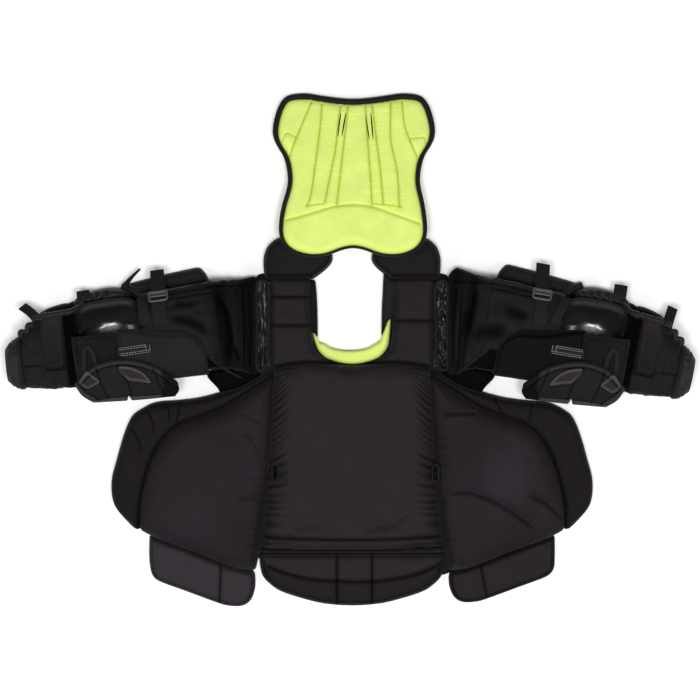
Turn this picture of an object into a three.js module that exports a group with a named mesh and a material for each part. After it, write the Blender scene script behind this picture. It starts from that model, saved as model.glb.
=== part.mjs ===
import * as THREE from "three";

// A goalkeeper's chest and arm protector, lying open on its front with the lining up.
// Millimetres. +X is the wearer's right, +Y points to the head, +Z is up from the floor.
// Tables hold the right half; the left half is its mirror image with its own arm angles.

// Pads: height at the edge, height at the crown, and width of the round-over
const BACK = { rim: 7, crown: 17, round: 18 };
const TOP = { rim: 20, crown: 41, round: 16 };
const STRAP = { rim: 20, crown: 34, round: 14 };
const CHEST = { rim: 22, crown: 46, round: 30 };
const BELLY = { rim: 12, crown: 27, round: 20 };
const WING = { rim: 22, crown: 44, round: 34 };
const RIM = { rim: 13, crown: 29, round: 17 };
const FLAP = { rim: 8, crown: 18, round: 14 };

// Back panel, hinged up beyond the neck and leaning on the shoulder tops
const BACK_TOP_Y = 464;
const BACK_TILT = 8.4;
const BINDING = { width: 9, height: 12 };
const BACK_SEAM_DEPTH = 6;

// Arms: shoulder pivot, downward angle, extra angle of the forearm, stretch along and across the arm,
// and how much further the underarm gusset reaches towards the wing
const ARM_SIDES = [
  {
    side: "right", mirror: 1, pivotX: 162, pivotY: 45, droop: 9.8, bend: 1.6,
    length: 0.988, girth: 1.04, gusset: 1.2,
  },
  {
    side: "left", mirror: -1, pivotX: 162, pivotY: 41, droop: 8, bend: -2.2,
    length: 1, girth: 1, gusset: 2,
  },
];
// Straps as they happen to lie: place along the arm, slant, and how far the loose end reaches
const STRAP_SIDES = {
  right: {
    upperX: 171, upperSlant: -0.1, upperEnd: 135, elbowX: 195.5, elbowSlant: 0.3, tabX: 307, tabEnd: 122,
  },
  left: {
    upperX: 176, upperSlant: -0.05, upperEnd: 129, elbowX: 203, elbowSlant: 0, tabX: 308, tabEnd: 111,
  },
};
// Lower rib flaps hang a little differently: shift of the bottom edge
const FLAP_DROP = { right: 3, left: -4 };
// Width of the black neck edge, and sideways shift of the neck hole
const COLLAR_WIDTH = { right: 19, left: 10 };
const NECK_SHIFT = -4;
const ELBOW_X = 329;
const SLEEVE_WALL = 2;
const CUFF_WALL = 4.5;
const AROUND = 12;
const SQUARENESS = 2.5;
const CLOTH_GAP = 0.5;
const PANEL_GAP = 1.2;

// Colours seen on the object
const LIME = { color: 0xd3ec6e, roughness: 0.85 };
const LINING = { color: 0x2c2727, roughness: 0.8 };
const WING_CLOTH = { color: 0x2b2830, roughness: 0.78 };
const ARM_CLOTH = { color: 0x161616, roughness: 0.85 };
const PANEL_CLOTH = { color: 0x242222, roughness: 0.9 };
const WEBBING = { color: 0x121213, roughness: 0.75 };
const TAPE = { color: 0x141314, roughness: 0.7 };
const SHINY = { color: 0x1a1a1c, roughness: 0.35 };
const GLOSS = { color: 0x08080a, roughness: 0.12 };
const PLASTIC = { color: 0x0e0e10, roughness: 0.4 };
const RUBBER = { color: 0x151517, roughness: 0.6 };

const mix = (a, b, t) => a + (b - a) * t;
const radians = THREE.MathUtils.degToRad;
const signedPower = (value, power) => Math.sign(value) * Math.abs(value) ** power;

// Curves and surfaces

function curveThrough(points) {
  return new THREE.SplineCurve(points.map((p) => new THREE.Vector2(p.x, p.y)));
}

// A half edge listed from the centre line outwards becomes a whole edge from left to right
function bothHalves(half) {
  const left = half.slice(1).reverse().map((p) => ({ x: -p.x, y: p.y }));
  return [...left, ...half];
}

const mirrored = (points) => points.map((p) => ({ x: -p.x, y: p.y }));

// A smooth patch between four edges: bottom and top run to +X, left and right run to +Y
function patch({ bottom, right, top, left }) {
  const [low, high, start, end] = [bottom, top, left, right].map(curveThrough);
  const corners = [low.getPointAt(0), low.getPointAt(1), high.getPointAt(0), high.getPointAt(1)];
  return (u, v) => {
    const across = low.getPointAt(u).lerp(high.getPointAt(u), v);
    const along = start.getPointAt(v).lerp(end.getPointAt(v), u);
    const lowCorner = corners[0].clone().lerp(corners[1], u);
    const highCorner = corners[2].clone().lerp(corners[3], u);
    return across.add(along).sub(lowCorner.lerp(highCorner, v));
  };
}

// Closed solid between an outer and an inner grid of points
function shell(outer, inner, { closed = false, flat = false } = {}) {
  const rowCount = outer.length;
  const columnCount = outer[0].length;
  const cellColumns = closed ? columnCount : columnCount - 1;
  const points = [...outer.flat(), ...inner.flat()];
  const shift = rowCount * columnCount;
  const index = (row, column) => row * columnCount + (column % columnCount);
  const faces = [];
  const quad = (a, b, c, d) => faces.push([a, b, c], [a, c, d]);
  for (let row = 0; row < rowCount - 1; row += 1) {
    for (let column = 0; column < cellColumns; column += 1) {
      const a = index(row, column);
      const b = index(row, column + 1);
      const c = index(row + 1, column + 1);
      const d = index(row + 1, column);
      quad(a, b, c, d);
      if (!flat) quad(a + shift, d + shift, c + shift, b + shift);
      if (row === 0) quad(a + shift, b + shift, b, a);
      if (row === rowCount - 2) quad(c + shift, d + shift, d, c);
      if (!closed && column === 0) quad(d + shift, a + shift, a, d);
      if (!closed && column === cellColumns - 1) quad(b + shift, c + shift, c, b);
    }
  }
  if (flat) faces.push(...flatBase(points, shift, rowCount, columnCount));
  return solid(points, faces);
}

// Flat underside of a pad, filled from its boundary alone
function flatBase(points, shift, rowCount, columnCount) {
  const loop = [];
  for (let column = 0; column < columnCount; column += 1) loop.push(column);
  for (let row = 1; row < rowCount; row += 1) loop.push(row * columnCount + columnCount - 1);
  for (let column = columnCount - 2; column >= 0; column -= 1) {
    loop.push((rowCount - 1) * columnCount + column);
  }
  for (let row = rowCount - 2; row > 0; row -= 1) loop.push(row * columnCount);
  const contour = loop.map((at) => new THREE.Vector2(points[at + shift].x, points[at + shift].y));
  const centre = contour.reduce((sum, p) => sum.add(p), new THREE.Vector2()).divideScalar(contour.length);
  // Straight stretches are bowed a little inwards, so that every corner of the edge is used
  const bowed = contour.map((p) => {
    const from = p.clone().sub(centre);
    return from.multiplyScalar(1 + from.lengthSq() * 1e-7).add(centre);
  });
  return THREE.ShapeUtils.triangulateShape(bowed, []).map((triangle) => {
    const downward = THREE.ShapeUtils.area(triangle.map((at) => contour[at])) < 0;
    const turned = downward ? triangle : [...triangle].reverse();
    return turned.map((at) => loop[at] + shift);
  });
}

// Triangles with their faces turned outwards
function solid(points, faces) {
  const normal = new THREE.Vector3();
  const volume = faces.reduce((sum, [a, b, c]) => {
    return sum + points[a].dot(normal.crossVectors(points[b], points[c]));
  }, 0);
  const outward = volume > 0 ? faces : faces.map(([a, b, c]) => [a, c, b]);
  const geometry = new THREE.BufferGeometry();
  geometry.setFromPoints(outward.flat().map((at) => points[at]));
  geometry.computeVertexNormals();
  return geometry;
}

// A tube whose path and cross-section both close on themselves
function ring(rows) {
  const count = rows[0].length;
  const faces = [];
  rows.forEach((row, r) => {
    row.forEach((point, c) => {
      const next = ((r + 1) % rows.length) * count;
      const side = (c + 1) % count;
      faces.push([r * count + c, r * count + side, next + side]);
      faces.push([r * count + c, next + side, next + c]);
    });
  });
  return solid(rows.flat(), faces);
}

// Grid lines of a pad: fine at both edges, even between them
function evenLines(count, edge) {
  const inside = Array.from({ length: count + 1 }, (_, i) => mix(edge, 1 - edge, i / count));
  const lines = [0, edge * 0.3, ...inside, 1 - edge * 0.3, 1];
  return lines.map((at) => ({ low: at, high: at, depth: 0 }));
}

// A sewn line pressed into a pad, between two lines that stay at full height
function withSeams(lines, seams, reach) {
  const beside = seams.flatMap((seam) => [-reach, reach].map((step) => {
    return { low: seam.low + step, high: seam.high + step, depth: 0 };
  }));
  const clear = lines.filter((line) => seams.every((seam) => Math.abs(line.low - seam.low) > reach * 1.3));
  return [...clear, ...beside, ...seams].sort((a, b) => a.low - b.low);
}

// A stuffed pad: high in the middle, rounded over at its edges, pressed in at its seams
function pad({ at, size, columns, rows, base = () => 0, relief = () => 0, limit, flat = true }) {
  const top = [];
  const under = [];
  for (const row of rows) {
    const topRow = [];
    const underRow = [];
    for (const column of columns) {
      const u = mix(column.low, column.high, row.low);
      const v = mix(row.low, row.high, u);
      const { x, y } = at(u, v);
      const wide = at(0, v).distanceTo(at(1, v));
      const tall = at(u, 0).distanceTo(at(u, 1));
      const near = Math.max(0, Math.min(u * wide, (1 - u) * wide, v * tall, (1 - v) * tall));
      const rounded = near < size.round ? Math.sqrt(1 - (1 - near / size.round) ** 2) : 1;
      const seam = Math.max(column.depth, row.depth) * (near > 0 ? 1 : 0.3);
      const free = mix(size.rim, size.crown, rounded) - seam + relief(x, y, near, u, v);
      const height = Math.min(free, limit ? limit(y) : free);
      const floor = base(x, y);
      topRow.push(new THREE.Vector3(x, y, floor + height));
      underRow.push(new THREE.Vector3(x, y, floor));
    }
    top.push(topRow);
    under.push(underRow);
  }
  return shell(top, under, { flat });
}

// A flat strap along a path, with its width in a fixed direction
function ribbon(path, side, width, thick) {
  const across = side.clone().normalize().multiplyScalar(width / 2);
  const rows = path.map((point, i) => {
    const before = path[Math.max(0, i - 1)];
    const after = path[Math.min(path.length - 1, i + 1)];
    const lift = new THREE.Vector3().crossVectors(across, after.clone().sub(before)).normalize();
    if (lift.z < 0) lift.negate();
    return { point, lift: lift.multiplyScalar(thick) };
  });
  const edges = (point) => [point.clone().sub(across), point.clone().add(across)];
  const outer = rows.map(({ point, lift }) => edges(point.clone().add(lift)));
  return shell(outer, rows.map(({ point }) => edges(point)));
}

// Sleeves: each row is one cross-section; low and high are its limits across the arm (y) and up (z)

const SHOULDER_ROWS = [
  { x: 11.9, yLow: -80, yHigh: 86, zLow: 3, zHigh: 31, lean: 1 },
  { x: 22, yLow: -77, yHigh: 96, zLow: 4, zHigh: 44, lean: 0.85 },
  { x: 33, yLow: -74, yHigh: 101, zLow: 8, zHigh: 49, lean: 0.65 },
  { x: 42, yLow: -71, yHigh: 99, zLow: 13, zHigh: 62, lean: 0.45 },
  { x: 56, yLow: -66, yHigh: 97, zLow: 19, zHigh: 70, lean: 0.25 },
  { x: 74, yLow: -62, yHigh: 96, zLow: 22.5, zHigh: 80, lean: 0 },
];
const UPPER_ROWS = [
  { x: 74.4, yLow: -62, yHigh: 96, zLow: 22.5, zHigh: 80, lean: 0 },
  { x: 96, yLow: -61, yHigh: 95, zLow: 22.5, zHigh: 84, lean: 0 },
  { x: 124, yLow: -60, yHigh: 95, zLow: 22.5, zHigh: 82, lean: 0 },
  { x: 166, yLow: -59, yHigh: 93, zLow: 22.5, zHigh: 84, lean: 0 },
  { x: 208, yLow: -56, yHigh: 90, zLow: 22.5, zHigh: 80, lean: 0 },
];
const ELBOW_ROWS = [
  { x: 208, yLow: -56, yHigh: 90, zLow: 22.5, zHigh: 80, lean: 0 },
  { x: 256, yLow: -55, yHigh: 86, zLow: 22.5, zHigh: 77, lean: 0 },
  { x: 329, yLow: -58, yHigh: 79, zLow: 20.5, zHigh: 74, lean: 0 },
  { x: 345, yLow: -58, yHigh: 78, zLow: 20.5, zHigh: 74, lean: 0 },
];
const FOREARM_ROWS = [
  { x: 1, yLow: -58, yHigh: 78, zLow: 20.5, zHigh: 74, lean: 0 },
  { x: 30, yLow: -58, yHigh: 77, zLow: 20.5, zHigh: 72, lean: 0 },
  { x: 52, yLow: -57, yHigh: 74, zLow: 20.5, zHigh: 74, lean: 0 },
  { x: 80, yLow: -53, yHigh: 60, zLow: 20.5, zHigh: 70, lean: 0 },
  { x: 103, yLow: -50, yHigh: 40, zLow: 20.5, zHigh: 67, lean: 0 },
];
const CUFF_ROWS = [
  { x: 103.4, yLow: -51, yHigh: 40, zLow: 18, zHigh: 69, lean: 0 },
  { x: 107, yLow: -52, yHigh: 40, zLow: 16, zHigh: 70, lean: 0 },
  { x: 122, yLow: -46, yHigh: 33, zLow: 16, zHigh: 66, lean: 0 },
  { x: 132, yLow: -37, yHigh: 23, zLow: 20, zHigh: 60, lean: 0 },
];

function sleevePoint(row, angle, offset, lean = 0) {
  const halfWide = (row.yHigh - row.yLow) / 2 + offset;
  const halfTall = (row.zHigh - row.zLow) / 2 + offset;
  const y = (row.yHigh + row.yLow) / 2 + halfWide * signedPower(Math.sin(angle), 2 / SQUARENESS);
  const z = (row.zHigh + row.zLow) / 2 + halfTall * signedPower(Math.cos(angle), 2 / SQUARENESS);
  return new THREE.Vector3(row.x - row.lean * lean * y, y, z);
}

function sleeve(rows, wall, lean = 0) {
  const circle = Array.from({ length: AROUND }, (_, i) => (i / AROUND) * Math.PI * 2);
  const skin = (offset) => rows.map((row) => circle.map((angle) => sleevePoint(row, angle, offset, lean)));
  return shell(skin(0), skin(-wall), { closed: true });
}

// Section of a sleeve table at any distance along it
function sectionAt(rows, x) {
  const next = Math.max(1, rows.findIndex((row) => row.x >= x));
  const [before, after] = [rows[next - 1], rows[next]];
  const t = (x - before.x) / (after.x - before.x);
  const section = { x, lean: 0 };
  for (const key of ["yLow", "yHigh", "zLow", "zHigh"]) section[key] = mix(before[key], after[key], t);
  return section;
}

// Angle round a sleeve, from its top, at which its skin lies at a given y
function angleAt(section, y, offset) {
  const middle = (section.yHigh + section.yLow) / 2;
  const share = (y - middle) / ((section.yHigh - section.yLow) / 2 + offset);
  const clipped = THREE.MathUtils.clamp(share, -1, 1);
  return Math.asin(signedPower(clipped, SQUARENESS / 2));
}

// Angles from one end to the other through the corners of the sleeve underneath
function anglesBetween(from, to) {
  const step = (Math.PI * 2) / AROUND;
  const corners = [];
  for (let i = Math.ceil(from / step + 0.2); i * step < to - step * 0.2; i += 1) corners.push(i * step);
  return [from, ...corners, to];
}

// A panel sewn over a sleeve: each row gives x, the y of its head-side edge and its far angle
function wrapped(sleeveRows, rows, columnCount, gap, thickAt) {
  const skin = (offsetAt) => rows.map((row, i) => {
    const section = sectionAt(sleeveRows, row.x);
    const from = radians(row.far);
    const to = angleAt(section, row.y, gap);
    return Array.from({ length: columnCount }, (_, c) => {
      return sleevePoint(section, mix(from, to, c / (columnCount - 1)), offsetAt(i));
    });
  });
  return shell(skin((i) => gap + thickAt(i)), skin(() => gap));
}

// Strap laid round a sleeve at x, from one y to the other, then on along a free tail
function strapPath(sleeveRows, x, lean, yFrom, yTo, gap, tail) {
  const section = sectionAt(sleeveRows, x);
  const angles = anglesBetween(angleAt(section, yFrom, gap), angleAt(section, yTo, gap));
  const laid = angles.map((angle) => sleevePoint(section, angle, gap));
  const path = [...laid, ...tail.map((p) => new THREE.Vector3(x, p.y, p.z))];
  return path.map((p) => p.setX(x + (p.y - yFrom) * lean));
}

// The parts, collected by name

const protector = new THREE.Group();

function piece(group, name, geometry, look) {
  const mesh = new THREE.Mesh(geometry, new THREE.MeshStandardMaterial({ ...look, metalness: 0 }));
  mesh.name = name;
  group.add(mesh);
  return mesh;
}

// Back panel

const BACK_BOTTOM = [
  { x: 0, y: 184 }, { x: 24, y: 180 }, { x: 48, y: 172 },
  { x: 74, y: 170 }, { x: 100, y: 176 }, { x: 122, y: 191 },
];
const BACK_SIDE = [
  { x: 122, y: 191 }, { x: 132, y: 210 }, { x: 133, y: 236 }, { x: 126, y: 268 },
  { x: 119, y: 305 }, { x: 120, y: 326 }, { x: 128, y: 350 }, { x: 142, y: 370 },
  { x: 147, y: 395 }, { x: 141, y: 430 }, { x: 125, y: 456 },
];
const BACK_TOP = [{ x: 0, y: 452 }, { x: 45, y: 456 }, { x: 100, y: 464 }, { x: 125, y: 456 }];
// Sewn channels of the back panel: distance from the centre line at the bottom and at the top
const BACK_CHANNELS = [
  { bottom: 33, top: 16 }, { bottom: 53, top: 29 }, { bottom: 83, top: 61 }, { bottom: 111, top: 82 },
];
const BACK_HALF_WIDTH = 122;
const BACK_CROSS_SEAM = 0.27;
const OUTLINE_STEPS = { across: 12, side: 11 };

function outlineLoop() {
  const side = curveThrough(BACK_SIDE);
  const top = curveThrough(bothHalves(BACK_TOP));
  const bottom = curveThrough(bothHalves(BACK_BOTTOM));
  const walk = (curve, steps, turn) => Array.from({ length: steps }, (_, i) => {
    return curve.getPointAt(turn ? 1 - i / steps : i / steps);
  });
  const right = walk(side, OUTLINE_STEPS.side, false);
  const left = walk(side, OUTLINE_STEPS.side, true).map((p) => new THREE.Vector2(-p.x, p.y));
  return [
    ...walk(bottom, OUTLINE_STEPS.across, false), ...right,
    ...walk(top, OUTLINE_STEPS.across, true), ...left,
  ];
}

// Loop moved inwards by a distance
function insetLoop(loop, distance) {
  return loop.map((point, i) => {
    const before = loop[(i + loop.length - 1) % loop.length];
    const after = loop[(i + 1) % loop.length];
    const along = after.clone().sub(before).normalize();
    return new THREE.Vector2(point.x - along.y * distance, point.y + along.x * distance);
  });
}

function backPanel() {
  const group = new THREE.Group();
  group.position.set(2, BACK_TOP_Y, 0);
  group.rotation.x = -radians(BACK_TILT);
  const loop = outlineLoop().map((p) => new THREE.Vector2(p.x, p.y - BACK_TOP_Y));
  const inner = insetLoop(loop, BINDING.width + 3.2);
  const { across, side } = OUTLINE_STEPS;
  const at = patch({
    bottom: inner.slice(0, across + 1),
    right: inner.slice(across, across + side + 1),
    top: inner.slice(across + side, 2 * across + side + 1).reverse(),
    left: [...inner.slice(2 * across + side), inner[0]].reverse(),
  });
  const toShare = (x) => 0.5 + x / (2 * BACK_HALF_WIDTH);
  const channels = BACK_CHANNELS.flatMap(({ bottom, top }) => [1, -1].map((sign) => {
    return { low: toShare(sign * bottom), high: toShare(sign * top), depth: BACK_SEAM_DEPTH };
  }));
  const crossSeam = { low: BACK_CROSS_SEAM, high: BACK_CROSS_SEAM, depth: BACK_SEAM_DEPTH };
  const columns = withSeams(evenLines(2, 0.03), channels, 0.022);
  const rows = withSeams(evenLines(5, 0.06), [crossSeam], 0.03);
  piece(group, "back_pad", pad({ at, size: BACK, columns, rows }), LIME);
  const section = [
    { out: 0, up: 2 }, { out: 0, up: BINDING.height - 2 }, { out: 3, up: BINDING.height },
    { out: BINDING.width, up: BINDING.height - 1 }, { out: BINDING.width, up: 0.5 }, { out: 3, up: 0 },
  ];
  const tape = section.map(({ out, up }) => insetLoop(loop, out).map((p) => {
    return new THREE.Vector3(p.x, p.y, up);
  }));
  const along = loop.map((_, i) => tape.map((line) => line[i]));
  piece(group, "back_binding", ring(along), TAPE);
  return group;
}

// Height that the leaning back panel leaves free above the shoulder tops
const underBackPanel = (y) => (BACK_TOP_Y - y) * Math.tan(radians(BACK_TILT)) - CLOTH_GAP;

// Front of the neck and the chest

const NECK_EDGE = [
  { x: 28, y: -22 }, { x: 53, y: -12 }, { x: 68, y: 8 },
  { x: 74, y: 50 }, { x: 76, y: 90 }, { x: 76, y: 130 },
];
const NECK_HOLE = [
  { x: 0, y: 1 }, { x: 20, y: 2.5 }, { x: 37, y: 8 }, { x: 50, y: 19 }, { x: 57, y: 34 },
];
const LINER_EDGE = [
  { x: 0, y: -22.8 }, { x: 26.6, y: -19 }, { x: 50.3, y: -9.7 }, { x: 64.8, y: 9 }, { x: 69.8, y: 34 },
];
const STRAP_SEAMS = [
  { low: 0.5, high: 0.47, depth: 5 }, { low: 0.77, high: 0.75, depth: 5 },
];
const CHEST_TOP = [
  { x: 0, y: -26 }, { x: 28, y: -23.5 }, { x: 60, y: -21 }, { x: 100, y: -22 }, { x: 140, y: -30.5 },
];
const CHEST_SIDE = [
  { x: 166, y: -362 }, { x: 159, y: -306 }, { x: 152, y: -216 }, { x: 145, y: -126 }, { x: 140, y: -30.5 },
];
const CHEST_HEM = { low: 0.065, high: 0.065, depth: 7 };
const CHEST_FOLD = { low: 0.115, high: 0.105, depth: 3 };
const GATHER_PITCH = 34;
const GATHER_DEPTH = 3;
const LOOP_DENT = { x: 149, y: -218, reach: 36, depth: 13 };
const BELLY_SIDE = [
  { x: 135, y: -428 }, { x: 157, y: -409 }, { x: 164, y: -388 }, { x: 166, y: -362.6 },
];
const BELLY_HEM = [{ x: 0, y: -457 }, { x: 45, y: -454 }, { x: 95, y: -444 }, { x: 135, y: -428 }];
const BELLY_SEAM_X = 31;

function shoulderPieces(group, side) {
  const top = patch({
    bottom: [{ x: 71, y: 131 }, { x: 112, y: 130.6 }, { x: 156, y: 131 }],
    right: [
      { x: 156, y: 131 }, { x: 158, y: 165 }, { x: 153, y: 184 }, { x: 142, y: 198 }, { x: 122, y: 206 },
    ],
    top: [{ x: 46, y: 190 }, { x: 80, y: 202 }, { x: 122, y: 206 }],
    left: [{ x: 71, y: 131 }, { x: 51, y: 146 }, { x: 38, y: 160 }, { x: 35, y: 174 }, { x: 46, y: 190 }],
  });
  const lines = evenLines(3, 0.16);
  piece(group, `shoulder_top_${side}`, pad({
    at: top, size: TOP, columns: lines, rows: lines, limit: underBackPanel,
  }), LINING);

  const strap = patch({
    bottom: [{ x: 28, y: -22 }, { x: 60, y: -19.5 }, { x: 100, y: -20.5 }, { x: 147, y: -29 }],
    right: [{ x: 147, y: -29 }, { x: 147, y: 50 }, { x: 147, y: 130 }],
    top: [{ x: 76, y: 130 }, { x: 110, y: 129.8 }, { x: 147, y: 130 }],
    left: NECK_EDGE,
  });
  const rows = withSeams(evenLines(5, 0.07), STRAP_SEAMS, 0.03);
  piece(group, `shoulder_strap_${side}`, pad({
    at: strap, size: STRAP, columns: evenLines(2, 0.16), rows,
  }), LINING);

  const wide = COLLAR_WIDTH[side];
  const collar = patch({
    bottom: [{ x: 72 - wide, y: 34.5 }, { x: 72, y: 34.5 }],
    right: [{ x: 72, y: 34.5 }, { x: 73.5, y: 50 }, { x: 75.5, y: 90 }, { x: 75.5, y: 129 }],
    top: [{ x: 76 - wide, y: 129 }, { x: 75.5, y: 129 }],
    left: [
      { x: 72 - wide, y: 34.5 }, { x: 72 - wide, y: 60 },
      { x: 73 - wide, y: 95 }, { x: 76 - wide, y: 129 },
    ],
  });
  const collarSize = { rim: 10, crown: 20, round: 5 };
  piece(group, `collar_side_${side}`, pad({
    at: collar, size: collarSize, columns: evenLines(1, 0.3), rows: evenLines(2, 0.1),
  }), TAPE);
}

function chestPieces(group) {
  const hole = bothHalves(NECK_HOLE).map((p) => ({ x: p.x + NECK_SHIFT, y: p.y }));
  const liner = patch({
    bottom: bothHalves(LINER_EDGE),
    right: [LINER_EDGE.at(-1), hole.at(-1)],
    top: hole,
    left: [{ x: -LINER_EDGE.at(-1).x, y: LINER_EDGE.at(-1).y }, hole[0]],
  });
  const linerSize = { rim: 8, crown: 21, round: 16 };
  piece(group, "collar_liner", pad({
    at: liner, size: linerSize, columns: evenLines(9, 0.06), rows: evenLines(1, 0.3),
  }), LIME);

  const chest = patch({
    bottom: bothHalves([{ x: 0, y: -362 }, { x: 166, y: -362 }]),
    right: CHEST_SIDE,
    top: bothHalves(CHEST_TOP),
    left: mirrored(CHEST_SIDE),
  });
  const gathers = (x, y, near) => {
    const edge = Math.max(0, 1 - near / 46);
    const wave = GATHER_DEPTH * edge * Math.cos((y / GATHER_PITCH) * Math.PI * 2);
    const away = Math.hypot((Math.abs(x) - LOOP_DENT.x) / 0.7, y - LOOP_DENT.y) / LOOP_DENT.reach;
    return (near > 0 ? wave : 0) - LOOP_DENT.depth * Math.max(0, 1 - away) ** 0.7 * (near > 0 ? 1 : 0);
  };
  const chestRows = withSeams(evenLines(16, 0.03), [CHEST_HEM, CHEST_FOLD], 0.018);
  piece(group, "chest_pad", pad({
    at: chest, size: CHEST, columns: evenLines(5, 0.09), rows: chestRows, relief: gathers,
  }), LINING);

  const belly = patch({
    bottom: bothHalves(BELLY_HEM),
    right: BELLY_SIDE,
    top: bothHalves([{ x: 0, y: -362.6 }, { x: 166, y: -362.6 }]),
    left: mirrored(BELLY_SIDE),
  });
  const bellySeams = [-1, 1].map((sign) => {
    const edge = 0.5 + (sign * BELLY_SEAM_X) / 332;
    const hem = 0.5 + (sign * BELLY_SEAM_X) / 290;
    return { low: hem, high: edge, depth: 4 };
  });
  const bellyRows = withSeams(evenLines(3, 0.14), [{ low: 0.46, high: 0.46, depth: 5 }], 0.07);
  const bellyColumns = withSeams(evenLines(4, 0.06), bellySeams, 0.018);
  piece(group, "belly_flap", pad({
    at: belly, size: BELLY, columns: bellyColumns, rows: bellyRows,
  }), LINING);
}

// Rib pads on either side of the chest

const WING_INNER = [
  { x: 176, y: -395 }, { x: 168, y: -362 }, { x: 159.6, y: -306 },
  { x: 152.6, y: -216 }, { x: 145.6, y: -126 }, { x: 141, y: -47 },
];
const WING_BOTTOM = [
  { x: 176, y: -395 }, { x: 215, y: -388 }, { x: 279, y: -362 }, { x: 352, y: -336 }, { x: 381, y: -321 },
];
const WING_OUTER = [
  { x: 381, y: -321 }, { x: 379, y: -270 }, { x: 369, y: -225 }, { x: 354, y: -182 }, { x: 330, y: -148 },
];
const WING_TOP = [
  { x: 141, y: -47 }, { x: 180, y: -70 }, { x: 225, y: -99 },
  { x: 270, y: -118 }, { x: 306, y: -130 }, { x: 330, y: -148 },
];
const RIM_INNER = [
  { x: 141.6, y: -45 }, { x: 180.4, y: -69 }, { x: 225.4, y: -98 }, { x: 270.3, y: -117 },
  { x: 306.6, y: -129 }, { x: 331, y: -147.4 }, { x: 355, y: -181.5 }, { x: 370, y: -224.7 },
  { x: 380.1, y: -270 }, { x: 382.2, y: -321 },
];
const RIM_OUTER = [
  { x: 146, y: -32 }, { x: 190, y: -58 }, { x: 230, y: -72 }, { x: 290, y: -87 }, { x: 350, y: -92 },
  { x: 385, y: -105 }, { x: 404, y: -131 }, { x: 417, y: -169 }, { x: 429, y: -215 }, { x: 435, y: -248 },
  { x: 429, y: -276 }, { x: 412, y: -299 }, { x: 392, y: -320 },
];
const RIM_PLEATS = [{ low: 0.43, high: 0.43, depth: 5 }, { low: 0.56, high: 0.56, depth: 4 }];
const FLAP_TOP = [
  { x: 177, y: -396.6 }, { x: 215, y: -389.4 }, { x: 279, y: -363.4 },
  { x: 352, y: -337.4 }, { x: 365, y: -331 },
];
const FLAP_SIDE = [{ x: 357, y: -405 }, { x: 365, y: -388 }, { x: 365, y: -362 }, { x: 365, y: -331 }];
const FLAP_BOTTOM = [
  { x: 193, y: -453 }, { x: 215, y: -457 }, { x: 240, y: -450 },
  { x: 300, y: -428 }, { x: 338, y: -415 }, { x: 357, y: -405 },
];
const FLAP_INNER = [{ x: 193, y: -453 }, { x: 180, y: -440 }, { x: 175.5, y: -415 }, { x: 177, y: -396.6 }];
const WING_FOLDS = {
  right: [{ low: 0.42, high: 0.1, depth: 7 }],
  left: [{ low: 0.3, high: 0.26, depth: 3 }],
};

function wingPieces(group, side) {
  const wing = patch({ bottom: WING_BOTTOM, right: WING_OUTER, top: WING_TOP, left: WING_INNER });
  const folds = WING_FOLDS[side];
  const leaning = evenLines(4, 0.1).map((line) => ({ ...line, high: line.low }));
  const rows = withSeams(leaning, folds, 0.05).map((line) => {
    const sway = folds[0].high - folds[0].low;
    const share = 1 - Math.abs(line.low - folds[0].low) / 0.6;
    const lean = line.depth > 0 || line.high !== line.low ? sway : sway * Math.max(0, share);
    const inside = line.low > 0 && line.low < 1;
    return { ...line, high: inside ? Math.max(line.low + lean, line.low * 0.2) : line.low };
  });
  piece(group, `wing_pad_${side}`, pad({
    at: wing, size: WING, columns: evenLines(4, 0.12), rows,
  }), WING_CLOTH);

  const rim = patch({
    bottom: RIM_INNER,
    right: [RIM_INNER.at(-1), RIM_OUTER.at(-1)],
    top: RIM_OUTER,
    left: [RIM_INNER[0], RIM_OUTER[0]],
  });
  const rimColumns = withSeams(evenLines(11, 0.03), RIM_PLEATS, 0.02);
  piece(group, `wing_rim_${side}`, pad({
    at: rim, size: RIM, columns: rimColumns, rows: evenLines(1, 0.33),
  }), WING_CLOTH);

  const drop = (p) => ({ x: p.x, y: p.y + (p.y < -400 ? FLAP_DROP[side] : 0) });
  const flap = patch({
    bottom: FLAP_BOTTOM.map(drop), right: FLAP_SIDE.map(drop), top: FLAP_TOP, left: FLAP_INNER.map(drop),
  });
  const flapColumns = withSeams(evenLines(3, 0.06), [{ low: 0.25, high: 0.31, depth: 4 }], 0.025);
  piece(group, `side_flap_${side}`, pad({
    at: flap, size: FLAP, columns: flapColumns, rows: evenLines(2, 0.16),
  }), WING_CLOTH);

  const outline = roundedOutline(9, 34, 3);
  outline.holes.push(roundedOutline(4, 27, 1.5));
  const loop = new THREE.ExtrudeGeometry(outline, { depth: 3, bevelEnabled: false, curveSegments: 1 });
  piece(group, `side_loop_${side}`, loop, WEBBING).position.set(147, -218, 34.3);
}

function roundedOutline(width, height, radius) {
  const [w, h] = [width / 2, height / 2];
  const shape = new THREE.Shape();
  shape.moveTo(-w + radius, -h);
  shape.lineTo(w - radius, -h);
  shape.absarc(w - radius, -h + radius, radius, -Math.PI / 2, 0);
  shape.absarc(w - radius, h - radius, radius, 0, Math.PI / 2);
  shape.absarc(-w + radius, h - radius, radius, Math.PI / 2, Math.PI);
  shape.absarc(-w + radius, -h + radius, radius, Math.PI, Math.PI * 1.5);
  return shape;
}

// Mouth of each sleeve: a bound slot beside the shoulder strap with crumpled lining inside

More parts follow.
